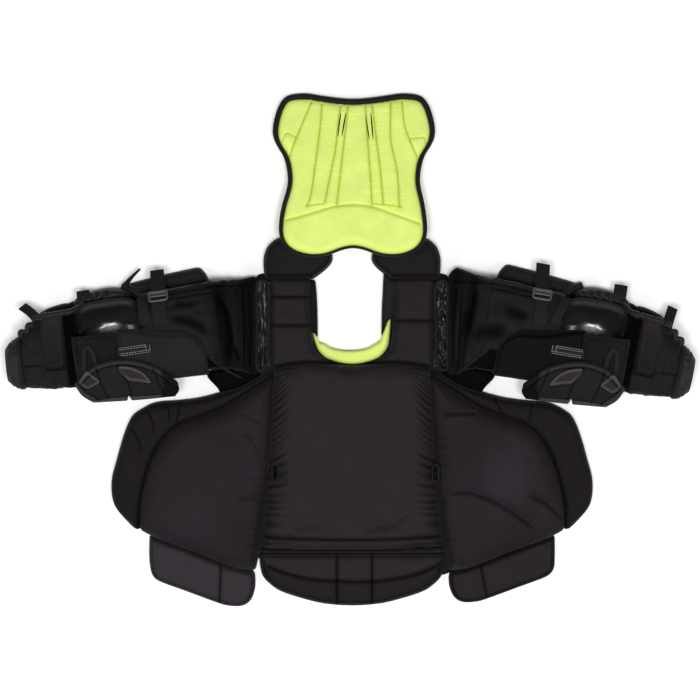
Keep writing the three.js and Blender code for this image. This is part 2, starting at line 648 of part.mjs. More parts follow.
const MOUTH = { left: 148.2, right: 173.2, bottom: -36, top: 128, height: 31, tape: 5 };
const MOUTH_CORNERS = [
  { x: MOUTH.left + 13, y: MOUTH.bottom }, { x: MOUTH.right - 4, y: MOUTH.bottom },
  { x: MOUTH.right, y: MOUTH.bottom + 5 }, { x: MOUTH.right, y: 46 }, { x: MOUTH.right, y: MOUTH.top - 5 },
  { x: MOUTH.right - 4, y: MOUTH.top }, { x: MOUTH.left + 5, y: MOUTH.top },
  { x: MOUTH.left, y: MOUTH.top - 6 }, { x: MOUTH.left, y: 46 }, { x: MOUTH.left, y: MOUTH.bottom + 26 },
  { x: MOUTH.left + 4, y: MOUTH.bottom + 10 },
];
const CRUMPLES = 12;

function mouthPieces(group, side) {
  const loop = MOUTH_CORNERS.map((p) => new THREE.Vector2(p.x, p.y));
  const section = [
    { out: 0, up: 1 }, { out: 0, up: 5 }, { out: 2.5, up: 7 },
    { out: MOUTH.tape, up: 5 }, { out: MOUTH.tape, up: 1 }, { out: 2.5, up: 0 },
  ];
  const lines = section.map(({ out, up }) => insetLoop(loop, out).map((p) => {
    return new THREE.Vector3(p.x, p.y, MOUTH.height - 7 + up);
  }));
  piece(group, `armhole_trim_${side}`, ring(loop.map((_, i) => lines.map((line) => line[i]))), TAPE);

  const [low, high] = [MOUTH.bottom + 12, MOUTH.top - 6];
  const crumple = (i, c) => 5.5 + ((i + c) % 2) * 7 + Math.sin(i * 2.3) * 2;
  const strip = (heightAt) => Array.from({ length: CRUMPLES + 1 }, (_, i) => {
    const y = mix(low, high, i / CRUMPLES);
    const columns = [MOUTH.left - 0.8, (MOUTH.left + MOUTH.right) / 2, MOUTH.right - 0.1];
    return columns.map((x, c) => new THREE.Vector3(x, y, heightAt(i, c)));
  });
  const lining = shell(strip((i, c) => crumple(i, c) + 4), strip((i, c) => crumple(i, c)));
  piece(group, `armhole_gather_${side}`, lining, SHINY);
}

// One arm, along +X from its shoulder pivot

const BICEP = { rim: 10, crown: 22, round: 10 };
const BICEP_EDGES = {
  bottom: [{ x: 88, y: -45 }, { x: 146, y: -46 }, { x: 203, y: -45 }],
  right: [{ x: 203, y: -45 }, { x: 204, y: 60 }, { x: 213, y: 92 }, { x: 236, y: 112 }],
  top: [{ x: 97, y: 125 }, { x: 165, y: 120 }, { x: 236, y: 112 }],
  left: [{ x: 88, y: -45 }, { x: 80, y: 40 }, { x: 80, y: 92 }, { x: 97, y: 125 }],
};
const FORE = { rim: 9, crown: 20, round: 10 };
const FORE_EDGES = {
  bottom: [{ x: 5, y: -45 }, { x: 50, y: -46 }, { x: 101, y: -40 }],
  right: [{ x: 101, y: -40 }, { x: 101.4, y: 0 }, { x: 102, y: 44 }],
  top: [{ x: 14, y: 93 }, { x: 52, y: 89 }, { x: 84, y: 67 }, { x: 102, y: 44 }],
  left: [{ x: 5, y: -45 }, { x: 4, y: 30 }, { x: 14, y: 93 }],
};
const UNDERARM = { rim: 5, crown: 9, round: 8 };
const UNDERARM_EDGES = {
  bottom: [{ x: 11, y: -79 }, { x: 30, y: -84.6 }, { x: 60, y: -91 }, { x: 90, y: -96 }],
  right: [{ x: 98, y: -80 }, { x: 104, y: -62 }],
  top: [{ x: 11, y: -74 }, { x: 30, y: -74 }, { x: 56, y: -62 }, { x: 104, y: -62 }],
};
// Smooth panel along the inside of the arm
const PANEL_THICK = 7;
const PANEL_ROWS = [
  { x: 103, y: -32, far: -120 }, { x: 108, y: -13, far: -120 }, { x: 124, y: 7, far: -120 },
  { x: 140, y: 17, far: -120 }, { x: 166, y: 20, far: -120 }, { x: 208, y: 27, far: -118 },
  { x: 232, y: 31, far: -112 }, { x: 255, y: 34, far: -106 },
];
// Ribbed elastic from the panel to the forearm
const ELASTIC_ROWS = [
  { x: 255.6, y: 26, far: -62 }, { x: 268, y: 27, far: -62 }, { x: 280, y: 28, far: -60 },
  { x: 292, y: 29, far: -60 }, { x: 304, y: 30, far: -58 }, { x: 316, y: 31, far: -58 },
  { x: 329, y: 31, far: -56 }, { x: 337, y: 31, far: -54 },
];
const ELBOW_WING = { rim: 5, crown: 10, round: 7 };
const ELBOW_WING_EDGES = {
  bottom: [{ x: 165, y: -101 }, { x: 240, y: -96 }, { x: 316, y: -90 }],
  right: [{ x: 316, y: -90 }, { x: 333, y: -75 }, { x: 343, y: -53 }],
  top: [
    { x: 160, y: -74 }, { x: 185, y: -48 }, { x: 220, y: -28 },
    { x: 265, y: -19 }, { x: 308, y: -27 }, { x: 343, y: -53 },
  ],
  left: [{ x: 165, y: -101 }, { x: 160, y: -74 }],
};
// Moulded pockets of the elbow wing, as shares along and across it, with sloping sides
const POCKETS = [{ from: 0.2, to: 0.47 }, { from: 0.76, to: 0.94 }];
const POCKET = { low: 0.26, high: 0.76, slope: 0.06, depth: 6 };
const WING_LIFT = 6.9;
const FOREARM_FLAP_ROWS = [
  { x: 24, y: 72, far: -26 }, { x: 30, y: 72, far: -27 },
  { x: 52, y: 70, far: -27 }, { x: 62, y: 66, far: -26 },
];
// Elbow cup: high at its sides, low where the arm runs in and out
const CUP = { x: 268.6, y: 18, halfLong: 59.8, halfWide: 66, height: 56, endHeight: 23.6, wall: 3 };
const CUP_PROFILE = [
  { share: 0, z: 0 }, { share: 0.72, z: 0 }, { share: 0.92, z: 9 },
  { share: 1, z: 22 }, { share: 1, z: CUP.height },
];
// Loose strap ends: distance across the arm and height
const ELBOW_TAB = [{ share: 0, z: 44.3 }, { share: 0.4, z: 43.3 }, { share: 1, z: 38.3 }];
const FOREARM_TAB = [
  { y: 52, z: 72.6 }, { y: 62, z: 67.6 }, { y: 74, z: 58.6 }, { y: 88, z: 49 }, { y: 101, z: 42 },
];
// Padded roll along the head side of the elbow cup
const ROLL = { rim: 26, crown: 44, round: 11 };
const ROLL_EDGES = {
  bottom: [{ x: 230, y: 84.8 }, { x: 270, y: 84.9 }, { x: 328, y: 84.8 }],
  right: [{ x: 328, y: 84.8 }, { x: 330, y: 92 }, { x: 326, y: 99 }],
  top: [{ x: 232, y: 103 }, { x: 262, y: 110 }, { x: 300, y: 108 }, { x: 326, y: 99 }],
  left: [{ x: 230, y: 84.8 }, { x: 228, y: 94 }, { x: 232, y: 103 }],
};
const BUCKLE = { wide: 36, tall: 23, thick: 3.5, bar: 4.5 };

const wingBase = (x, y) => {
  const rows = x < 208 ? UPPER_ROWS : ELBOW_ROWS;
  const top = sectionAt(rows, Math.min(x, 328)).zHigh;
  const drop = Math.max(0, (-19 - y) / 81);
  return top + WING_LIFT - 10 * drop - 33 * drop * drop;
};

function cup() {
  const inset = 1 - CUP.wall / CUP.halfLong;
  const outer = CUP_PROFILE.map(({ share, z }) => new THREE.Vector2(share, z));
  const inner = CUP_PROFILE.map(({ share, z }) => {
    return new THREE.Vector2(share * inset, Math.min(z + CUP.wall, CUP.height));
  });
  const geometry = new THREE.LatheGeometry([...outer, ...inner.reverse()], AROUND);
  geometry.rotateX(Math.PI / 2);
  const corners = geometry.attributes.position;
  for (let i = 0; i < corners.count; i += 1) {
    const [x, y] = [corners.getX(i), corners.getY(i)];
    const around = Math.hypot(x, y);
    const square = around > 1e-6 ? around / (x ** 4 + y ** 4) ** 0.25 : 1;
    const rise = around > 1e-6 ? THREE.MathUtils.smoothstep(Math.abs(y) / around, 0.3, 0.85) : 0;
    const above = Math.max(0, corners.getZ(i) - CUP.wall);
    const share = mix((CUP.endHeight - CUP.wall) / (CUP.height - CUP.wall), 1, rise);
    corners.setZ(i, Math.min(corners.getZ(i), CUP.wall) + above * share);
    corners.setXY(i, CUP.x + x * square * CUP.halfLong, CUP.y + y * square * CUP.halfWide);
  }
  return geometry;
}

function upperArm(group, side, lean, gusset) {
  const name = (part) => `${part}_${side}`;
  piece(group, name("shoulder_sleeve"), sleeve(SHOULDER_ROWS, SLEEVE_WALL, lean), ARM_CLOTH);
  piece(group, name("upper_sleeve"), sleeve(UPPER_ROWS, SLEEVE_WALL), ARM_CLOTH);
  const lines = evenLines(2, 0.1);
  piece(group, name("bicep_pad"), pad({
    at: patch(BICEP_EDGES), size: BICEP, columns: lines, rows: lines,
  }), ARM_CLOTH);
  const reached = UNDERARM_EDGES.bottom.map((p) => ({ x: p.x, y: p.y - gusset }));
  const underarm = patch({
    bottom: reached,
    right: [reached.at(-1), ...UNDERARM_EDGES.right],
    top: UNDERARM_EDGES.top,
    left: [reached[0], UNDERARM_EDGES.top[0]],
  });
  piece(group, name("underarm_panel"), pad({
    at: underarm, size: UNDERARM, columns: lines, rows: evenLines(1, 0.3),
  }), WEBBING);

  const armRows = [...UPPER_ROWS, ...ELBOW_ROWS.slice(1)];
  const panel = wrapped(armRows, PANEL_ROWS, 8, PANEL_GAP, () => PANEL_THICK);
  piece(group, name("inner_panel"), panel, PANEL_CLOTH);
  const ribs = wrapped(armRows, ELASTIC_ROWS, 6, 0.8, (i) => (i % 2 === 0 ? 5.2 : 3.4));
  piece(group, name("elbow_elastic"), ribs, SHINY);
  piece(group, name("elbow_cap"), cup(), GLOSS);

  const across = new THREE.Vector3(1, 0, 0);
  const lie = STRAP_SIDES[side];
  const tail = [{ y: 103, z: 60 }, { y: 118, z: 53 }, { y: lie.upperEnd, z: 47 }];
  const strap = strapPath(UPPER_ROWS, lie.upperX, lie.upperSlant, 29, 90, 1.2, tail);
  piece(group, name("upper_strap"), ribbon(strap, across, 25, 1.8), WEBBING);
  const second = strapPath(UPPER_ROWS, lie.elbowX, lie.elbowSlant, 35, 82, 1.2, []);
  piece(group, name("elbow_strap"), ribbon(second, across, 19, 1.8), WEBBING);

  const frame = roundedOutline(BUCKLE.wide, BUCKLE.tall, 3);
  const slot = (BUCKLE.tall - 3 * BUCKLE.bar) / 2;
  for (const sign of [-1, 1]) {
    const hole = roundedOutline(BUCKLE.wide - 2 * BUCKLE.bar, slot, 1);
    const shift = (sign * (slot + BUCKLE.bar)) / 2;
    const points = hole.getPoints(1).map((p) => new THREE.Vector2(p.x, p.y + shift));
    frame.holes.push(new THREE.Path(points));
  }
  const buckle = new THREE.ExtrudeGeometry(frame, {
    depth: BUCKLE.thick, bevelEnabled: false, curveSegments: 1,
  });
  const mesh = piece(group, name("strap_buckle"), buckle, PLASTIC);
  mesh.position.set(lie.upperX + 52 * lie.upperSlant, 81, 76.3);
  mesh.rotation.x = radians(-33);

  const tabPath = ELBOW_TAB.map((p) => new THREE.Vector3(lie.tabX, mix(96, lie.tabEnd, p.share), p.z));
  piece(group, name("elbow_tab"), ribbon(tabPath, across, 24, 1.8), WEBBING);
  const rollRows = evenLines(1, 0.3);
  piece(group, name("elbow_roll"), pad({
    at: patch(ROLL_EDGES), size: ROLL, columns: evenLines(4, 0.1), rows: rollRows,
  }), ARM_CLOTH);

  const { low, high, slope, depth } = POCKET;
  const plain = (values) => values.map((at) => ({ low: at, high: at, depth: 0 }));
  const columns = POCKETS.flatMap(({ from, to }) => [from, from + slope, to - slope, to]);
  const pockets = (x, y, near, u, v) => {
    const within = (value, from, to) => value > from + slope / 2 && value < to - slope / 2;
    return POCKETS.some(({ from, to }) => within(u, from, to)) && within(v, low, high) ? -depth : 0;
  };
  piece(group, name("elbow_wing"), pad({
    at: patch(ELBOW_WING_EDGES), size: ELBOW_WING, base: wingBase, relief: pockets, flat: false,
    columns: plain([0, 0.05, ...columns, 1]),
    rows: plain([0, 0.1, low, low + slope, high - slope, high, 1]),
  }), PANEL_CLOTH);
}

function foreArm(group, side) {
  const name = (part) => `${part}_${side}`;
  piece(group, name("forearm_sleeve"), sleeve(FOREARM_ROWS, SLEEVE_WALL), ARM_CLOTH);
  const lines = evenLines(2, 0.12);
  piece(group, name("forearm_pad"), pad({
    at: patch(FORE_EDGES), size: FORE, columns: lines, rows: lines,
  }), ARM_CLOTH);
  piece(group, name("wrist_cuff"), sleeve(CUFF_ROWS, CUFF_WALL), RUBBER);
  const flap = wrapped(FOREARM_ROWS, FOREARM_FLAP_ROWS, 7, 0.8, () => 3);
  piece(group, name("forearm_flap"), flap, WEBBING);
  const across = new THREE.Vector3(1, -0.2, 0);
  const tabPath = FOREARM_TAB.map((p) => new THREE.Vector3(65 + (p.y - 52) * 0.18, p.y, p.z));
  piece(group, name("forearm_tab"), ribbon(tabPath, across, 19, 1.8), WEBBING);
}

// Put together

protector.add(backPanel());
chestPieces(protector);
for (const { side, mirror, pivotX, pivotY, droop, bend, length, girth, gusset } of ARM_SIDES) {
  const half = new THREE.Group();
  half.scale.x = mirror;
  shoulderPieces(half, side);
  wingPieces(half, side);
  mouthPieces(half, side);
  const arm = new THREE.Group();
  arm.position.set(pivotX, pivotY, 0);
  arm.rotation.z = -radians(droop);
  arm.scale.set(length, girth, 1);
  upperArm(arm, side, (Math.tan(radians(droop)) * girth) / length, gusset);
  const forearm = new THREE.Group();
  forearm.position.x = ELBOW_X;
  forearm.rotation.z = -radians(bend);
  foreArm(forearm, side);
  arm.add(forearm);
  half.add(arm);
  protector.add(half);
}

// The origin lies on the floor under the middle of the part
const limits = new THREE.Box3().setFromObject(protector, true);
const middle = limits.getCenter(new THREE.Vector3());
protector.position.set(-middle.x, -middle.y, -limits.min.z);

const part = new THREE.Group();
part.add(protector);
export default part;
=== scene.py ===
"""Looks of a goalkeeper's chest and arm protector that lies open on its front with the lining up.

Tables are in millimetres of the part's own frame: +X to the wearer's right, +Y to the head, +Z up.
"""
import math
from collections import namedtuple
from dataclasses import dataclass

import bpy
import numpy as np
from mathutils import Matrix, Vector
from mathutils.geometry import delaunay_2d_cdt


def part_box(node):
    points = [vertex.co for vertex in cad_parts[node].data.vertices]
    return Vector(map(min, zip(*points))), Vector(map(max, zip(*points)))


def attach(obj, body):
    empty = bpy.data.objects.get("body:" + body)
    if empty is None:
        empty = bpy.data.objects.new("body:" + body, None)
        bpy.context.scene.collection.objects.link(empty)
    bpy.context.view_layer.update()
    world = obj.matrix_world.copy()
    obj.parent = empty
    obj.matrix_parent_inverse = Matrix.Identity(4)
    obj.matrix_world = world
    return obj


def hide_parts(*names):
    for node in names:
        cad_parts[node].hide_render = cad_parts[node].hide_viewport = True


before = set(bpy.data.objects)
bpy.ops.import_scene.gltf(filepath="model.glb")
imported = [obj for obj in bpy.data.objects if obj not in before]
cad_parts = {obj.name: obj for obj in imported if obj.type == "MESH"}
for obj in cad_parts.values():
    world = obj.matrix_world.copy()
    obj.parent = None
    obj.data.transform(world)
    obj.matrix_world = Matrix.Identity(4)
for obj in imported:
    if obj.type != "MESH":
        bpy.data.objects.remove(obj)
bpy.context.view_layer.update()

# Pads: height at the edge, height at the crown, width of the round-over
Size = namedtuple("Size", "rim crown round")
BACK = Size(7, 17, 18)
TOP = Size(20, 41, 16)
STRAP = Size(20, 34, 14)
COLLAR = Size(10, 20, 5)
LINER = Size(13, 19, 8)
CHEST = Size(22, 46, 30)
BELLY = Size(12, 27, 20)
WING = Size(22, 44, 34)
RIM = Size(13, 29, 17)
FLAP = Size(8, 18, 14)
BICEP = Size(10, 22, 10)
FORE = Size(9, 20, 10)
UNDERARM = Size(5, 9, 8)
ROLL = Size(26, 44, 11)
LOW_CLOTH = Size(5, 8, 6)
# Side of a pad from top to base: share of the edge's height, share of the foot that is drawn in
PAD_SIDE = ((0.72, -0.1), (0.4, 0.0), (0.12, 0.4), (0.0, 1.0))

# The part's origin is shifted from the drawing's; the back panel leans up from its top edge
SHIFT = np.array([3.316, -2.75, 0.0])
HINGE = np.array([5.3, 461.25, 0.0])
TILT = math.radians(8.4)

ELBOW_X = 329
Arm = namedtuple("Arm", "sign pivot droop bend length girth seed")
ARMS = dict(
    right=Arm(1, (162, 45), 9.8, 1.6, 0.988, 1.04, 101),
    left=Arm(-1, (162, 41), 8, -2.2, 1, 1, 151),
)
Straps = namedtuple("Straps", "upper slant end elbow elbow_slant tab tab_end")
STRAPS = dict(
    right=Straps(171, -0.1, 135, 195.5, 0.3, 307, 122),
    left=Straps(176, -0.05, 129, 203, 0, 308, 111),
)

# Sewn lines and creases, seen from above
BACK_SEAMS = [
    [(-69, 449), (-96, 384), (-110, 347)],
    [(-51, 444), (-54, 404), (-63, 332), (-72, 273), (-78, 259)],
    [(-18, 440), (-27, 359), (-36, 314), (-45, 266)],
    [(-4, 444), (-8, 404), (-15, 341), (-24, 262)],
    [(27, 444), (30, 395), (36, 314), (39, 260)],
    [(39, 444), (45, 395), (54, 323), (59, 264)],
    [(73, 449), (73, 377), (84, 323), (88, 257)],
    [(93, 449), (98, 404), (109, 372), (122, 345)],
]
BACK_YOKE_SEAM = [(-117, 232), (-72, 244), (-27, 257), (3, 260), (36, 257), (80, 242), (125, 226)]
BACK_CORNER_SEAMS = [
    [(-123, 376), (-115, 390)], [(-115, 390), (-97, 382)], [(107, 379), (133, 382)],
    [(133, 382), (136, 370)], [(-78, 258), (-46, 262)], [(43, 262), (91, 257)],
]
BACK_SLITS = [
    [(-17, 426), (-22, 384)], [(-8, 426), (-15, 384)], [(28, 426), (34, 379)], [(37, 426), (41, 379)],
]
BELLY_ARC = [
    (-148, -389), (-117, -401), (-72, -412), (-18, -416), (39, -416), (89, -410), (125, -401), (161, -385),
]
BELLY_SEAMS = [[(-24, -367), (-24, -457)], [(39, -367), (39, -457)], BELLY_ARC]
CHEST_SEAMS = [
    ([(-150, -337), (-90, -339), (0, -341), (89, -339), (164, -335)], 4.0, 2.8),
    ([(-156, -357), (-90, -360), (0, -360), (89, -359), (166, -354)], 5.5, 3.0),
]
CHEST_CREASES = [
    [(52, -324), (84, -313), (108, -292)],
    [(24, -327), (52, -320), (70, -316)],
    [(-104, -326), (-76, -318), (-50, -320)],
]
STRAP_SEAMS = dict(
    left=[[(-150, 95), (-70, 95)], [(-150, 44), (-66, 44)]],
    right=[[(66, 53), (154, 53)]],
)
WING_CREASES = dict(
    left=[
        [(-270, -127), (-254, -117), (-238, -113)],
        [(-198, -112), (-171, -126), (-158, -133)],
        [(-197, -147), (-176, -165), (-157, -190)],
        [(-205, -267), (-158, -266)],
    ],
    right=[
        [(158, -258), (215, -258), (250, -269), (286, -289), (322, -316), (342, -334)],
        [(312, -258), (347, -274), (380, -304), (394, -316)],
        [(161, -117), (232, -113)],
    ],
)
WING_CREASE_DEPTH = dict(right=3.6, left=1.7)
RIM_CREASES = dict(
    left=[
        [(-368, -104), (-356, -128), (-352, -155)],
        [(-398, -136), (-382, -160), (-374, -188)],
        [(-306, -90), (-313, -138)],
        [(-328, -95), (-324, -135)],
    ],
    right=[[(255, -80), (278, -124)], [(327, -88), (321, -138)]],
)
FLAP_SEAMS = dict(left=[[(-233, -385), (-236, -460)]], right=[[(234, -383), (247, -450)]])

# Low cloth that joins the pads: strap, chest, rim and mouth of the sleeve; chest, belly and wing; neck
JUNCTIONS = dict(
    junction_cloth=[
        (132, 60), (132, 138), (156, 138), (172, 133), (172, 100), (164, 60), (168, 10), (196, 6),
        (200, -30), (176, -56), (150, -64), (128, -62),
    ],
    hip_cloth=[(148, -376), (146, -346), (176, -346), (178, -372)],
    neck_cloth=[(67, 36), (67, 72), (84, 72), (84, 36)],
)
HIP_DROP = dict(right=28, left=0)

# Webbing loops beside the chest: distance from the middle, and place along it
LOOP_AT = dict(right=150, left=138)
LOOP_Y = -220

# Painted shade that darkens a whole piece on one side, or painted light that lightens it
NECK_EDGE_TONE = dict(right=-0.05, left=0.32)
FLAP_TONE = dict(right=0.44, left=0.0)
PANEL_TONE = dict(right=0.68, left=0.0)
TUNNEL_TONE = dict(right=-0.1, left=0.48)

# Mouth of a sleeve: share of its width and length, each with a distance from there
MOUTH_CORNERS = [
    (0, 15.5, 0, 2.5), (1, -6, 0, 2.5), (1, -2.5, 0, 7), (1, -2.5, 0.5, 0), (1, -2.5, 1, -7),
    (1, -6, 1, -2.5), (0, 7, 1, -2.5), (0, 2.5, 1, -8), (0, 2.5, 0.5, 0), (0, 2.5, 0, 28), (0, 6.5, 0, 12),
]
# How far the folds of its lining are drawn out
MOUTH_FOLDS = dict(right=2.2, left=4)


# Numbers and curves


def bell(value, width):
    """1 at zero, fading to nothing on both sides."""
    return np.exp(-((value / width) ** 2))


def smooth(value, low, high):
    """0 up to low, 1 from high on, eased between them."""
    t = np.clip((value - low) / (high - low), 0, 1)
    return t * t * (3 - 2 * t)


def signed_power(value, power):
    """A power of a value's size, with the value's sign."""
    return np.sign(value) * np.abs(value) ** power


def unit(vectors):
    """The same directions at length one."""
    return vectors / np.maximum(np.linalg.norm(vectors, axis=1), 1e-9)[:, None]


def waves(points, size, seed, stretch=(1, 1)):
    """Smooth irregular ups and downs of about that wavelength, near 1 at their highest."""
    count = 16
    rng = np.random.default_rng(seed)
    turn = rng.uniform(0, math.tau, count)
    rate = math.tau / (size * rng.uniform(0.75, 1.5, count))
    phase = rng.uniform(0, math.tau, count)
    x = points[:, 0] / stretch[0]
    y = points[:, 1] / stretch[1]
    total = np.zeros(len(points))
    for t, r, p in zip(turn, rate, phase):
        total += np.cos((x * math.cos(t) + y * math.sin(t)) * r + p)
    return total / math.sqrt(count * 2)


def line_waves(along, size, seed):
    """Irregular ups and downs along a line."""
    return waves(np.stack([along, np.zeros(len(along))], 1), size, seed)


def ripple(along, pitch, seed):
    """Uneven puckers along a line."""
    drift = line_waves(along, pitch * 7, seed) * pitch * 0.9
    strength = 0.6 + 0.4 * line_waves(along, pitch * 4, seed + 1)
    return np.cos((along + drift) * math.tau / pitch) * strength


def pleats(along, pitch, seed):
    """Uneven gathers with round backs and sharp valleys."""
    drift = line_waves(along, pitch * 6, seed) * pitch * 0.8
    strength = np.clip(0.65 + 0.6 * line_waves(along, pitch * 3.3, seed + 1), 0.15, 1.3)
    return (np.abs(np.sin((along + drift) * math.pi / pitch)) ** 0.7 - 0.7) * strength


def eased(t, start, end, slope_start, slope_end):
    """A smooth run from start to end with those slopes there."""
    return (2 * t**3 - 3 * t**2 + 1) * start + (t**3 - 2 * t**2 + t) * slope_start + (
        3 * t**2 - 2 * t**3) * end + (t**3 - t**2) * slope_end


def running(path):
    """Length along a path at each of its points."""
    return np.concatenate([[0], np.cumsum(np.linalg.norm(np.diff(path, axis=0), axis=1))])


def at_marks(line, places, marks):
    """Points of a line at marks, where places tells how far along each of its points is."""
    return np.stack([np.interp(marks, places, line[:, k]) for k in range(line.shape[1])], -1)


def spline(points, step, closed=False):
    """Even points on a smooth curve through the given ones."""
    p = np.asarray(points, float)
    if closed:
        p = np.vstack([p[-1], p, p[:2]])
    else:
        p = np.vstack([2 * p[0] - p[1], p, 2 * p[-1] - p[-2]])
    t = np.linspace(0, 1, 24, endpoint=False)[:, None]
    found = []
    for a, b, c, d in zip(p, p[1:], p[2:], p[3:]):
        g, h, i = (max(math.sqrt(np.linalg.norm(v - u)), 1e-6) for u, v in ((a, b), (b, c), (c, d)))
        start = (b - a) / g - (c - a) / (g + h) + (c - b) / h
        end = (c - b) / h - (d - b) / (h + i) + (d - c) / i
        found.append(eased(t, b, c, start * h, end * h))
    line = np.vstack(found + [p[-2:-1]])
    run = running(line)
    count = max(3, int(round(run[-1] / step)))
    even = at_marks(line, run, np.linspace(0, run[-1], count + 1))
    return even[:-1] if closed else even


def away(points, line, closed=False):
    """Distance of each point to a line, and how far along the line the nearest place is."""
    ends = np.vstack([line, line[:1]]) if closed else line
    best = np.full(len(points), 1e9)
    place = np.zeros(len(points))
    start = 0.0
    for a, b in zip(ends[:-1], ends[1:]):
        d = b - a
        length = max(np.linalg.norm(d), 1e-9)
        t = np.clip(((points - a) @ d) / length**2, 0, 1)
        gap = np.linalg.norm(points - a - t[:, None] * d, axis=1)
        near = gap < best
        best[near] = gap[near]
        place[near] = start + t[near] * length
        start += length
    return best, place


def faded_ends(line, along, part):
    """1 along a line's middle, fading to nothing over that part of it at both ends."""
    total = running(line)[-1]
    return smooth(along, -1, part * total) * smooth(total - along, -1, part * total)


def inside(points, loop):
    """Which points lie inside a closed line."""
    x, y = points[:, 0], points[:, 1]
    hit = np.zeros(len(points), bool)
    for (x0, y0), (x1, y1) in zip(loop, np.roll(loop, -1, axis=0)):
        if y0 == y1:
            continue
        cross = (y0 > y) != (y1 > y)
        hit ^= cross & (x < (x1 - x0) * (y - y0) / (y1 - y0) + x0)
    return hit


def inward(loop):
    """Directions into a closed line that runs against the clock."""
    along = unit(np.roll(loop, -1, axis=0) - np.roll(loop, 1, axis=0))
    return np.stack([-along[:, 1], along[:, 0]], 1)


def inset(loop, distance):
    """A closed line moved inwards."""
    return loop + distance * inward(loop)


def softened(loop, reach, step):
    """Rounds a closed line's corners."""
    for _ in range(int(round(2 * (reach / step) ** 2))):
        loop = 0.5 * loop + 0.25 * (np.roll(loop, 1, axis=0) + np.roll(loop, -1, axis=0))
    return loop


# Places


def named(name, side):
    return f"{name}_{side}" if side else name


def turned(points, angle, first=0, second=1):
    """Turns points in the plane of two axes."""
    c, s = math.cos(angle), math.sin(angle)
    a, b = points[:, first], points[:, second]
    found = points.copy()
    found[:, first] = c * a - s * b
    found[:, second] = s * a + c * b
    return found


def on_arm(points, side, fore=False):
    """Puts points of a straight arm, or of its forearm, where that arm lies."""
    arm = ARMS[side]
    p = np.array(points, float)
    if fore:
        p = turned(p, -math.radians(arm.bend)) + [ELBOW_X, 0, 0]
    p = turned(p * [arm.length, arm.girth, 1], -math.radians(arm.droop)) + [*arm.pivot, 0]
    return p * [arm.sign, 1, 1] + SHIFT


def off_back(points):
    """From the part's frame to the leaning back panel's own plane."""
    return turned(points - HINGE, TILT, 1, 2)


def on_back(points):
    """From the back panel's own plane to the part's frame."""
    return turned(points, -TILT, 1, 2) + HINGE


def outwards(points, side):
    """How far out from the middle points lie, towards that side."""
    return (points[:, 0] - SHIFT[0]) * ARMS[side].sign


def node_box(node):
    """Low and high corner of a CAD solid."""
    return [np.array(corner) * 1000 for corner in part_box(node)]


# Pieces


def make(name, points, faces, look, node=None, side="", fill=None, shade=None, uv=None, slotted=True):
    """One piece from points in millimetres; shade darkens its points, or lightens them if negative."""
    name = named(name, side)
    mesh = bpy.data.meshes.new(name)
    mesh.from_pydata((np.asarray(points, float) / 1000).tolist(), [], outward(points, faces))
    mesh.polygons.foreach_set("use_smooth", np.ones(len(mesh.polygons), bool))
    dark = mesh.attributes.new("shade", "FLOAT", "POINT")
    values = np.zeros(len(points)) if shade is None else np.asarray(shade, float)
    dark.data.foreach_set("value", values.astype(np.float32))
    if uv is not None:
        layer = mesh.uv_layers.new(name="UVMap")
        corner = np.zeros(len(mesh.loops), np.int32)
        mesh.loops.foreach_get("vertex_index", corner)
        layer.data.foreach_set("uv", (np.asarray(uv, float)[corner] / 1000).astype(np.float32).ravel())
    mesh.materials.append(look.material)
    obj = bpy.data.objects.new(name, mesh)
    bpy.context.scene.collection.objects.link(obj)
    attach(obj, "root")
    if node:
        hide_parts(named(node, side))


def make_on_arm(name, side, points, faces, look, fore=False, **more):
    """One piece from points of a straight arm or of its forearm."""
    make(name, on_arm(points, side, fore), faces, look, side=side, **more)


def joined(parts):
    """Points and faces of several meshes as one."""
    points, faces, start = [], [], 0
    for p, f in parts:
        points.append(p)
        faces.extend(tuple(i + start for i in face) for face in f)
        start += len(p)
    return np.vstack(points), faces


def grid_faces(rows, columns, closed_rows=False, closed_columns=False):
    """Four-sided faces between rows of points."""
    faces = []
    for r in range(rows if closed_rows else rows - 1):
        for c in range(columns if closed_columns else columns - 1):
            low, high = r * columns, ((r + 1) % rows) * columns
            right = (c + 1) % columns
            faces.append((low + c, low + right, high + right, high + c))
    return faces


def tube_faces(rows, columns):
    """Faces around a row of rings, with a cap at both ends."""
    last = (rows - 1) * columns
    caps = [tuple(range(columns))[::-1], tuple(range(last, last + columns))]
    return grid_faces(rows, columns, closed_columns=True) + caps


def outward(points, faces):
    """Turns all faces of a closed mesh outwards."""
    p = np.asarray(points, float)
    tri = np.array([(face[0], face[i], face[i + 1]) for face in faces for i in range(1, len(face) - 1)])
    volume = np.sum(p[tri[:, 0]] * np.cross(p[tri[:, 1]], p[tri[:, 2]]))
    return faces if volume > 0 else [tuple(reversed(face)) for face in faces]


def shell(outer, inner, closed=False):
    """Closed skin between two grids of points (rows, columns, 3)."""
    rows, columns = outer.shape[:2]
    n = rows * columns
    faces = grid_faces(rows, columns, closed_columns=closed)
    faces += [tuple(i + n for i in reversed(face)) for face in faces]
    for row in (0, rows - 1):
        for c in range(columns if closed else columns - 1):
            a, b = row * columns + c, row * columns + (c + 1) % columns
            faces.append((b, a, a + n, b + n) if row == 0 else (a, b, b + n, a + n))
    if not closed:
        for c in (0, columns - 1):
            for r in range(rows - 1):
                a, b = r * columns + c, (r + 1) * columns + c
                faces.append((a, b, b + n, a + n) if c == 0 else (b, a, a + n, b + n))
    return np.vstack([outer.reshape(-1, 3), inner.reshape(-1, 3)]), faces


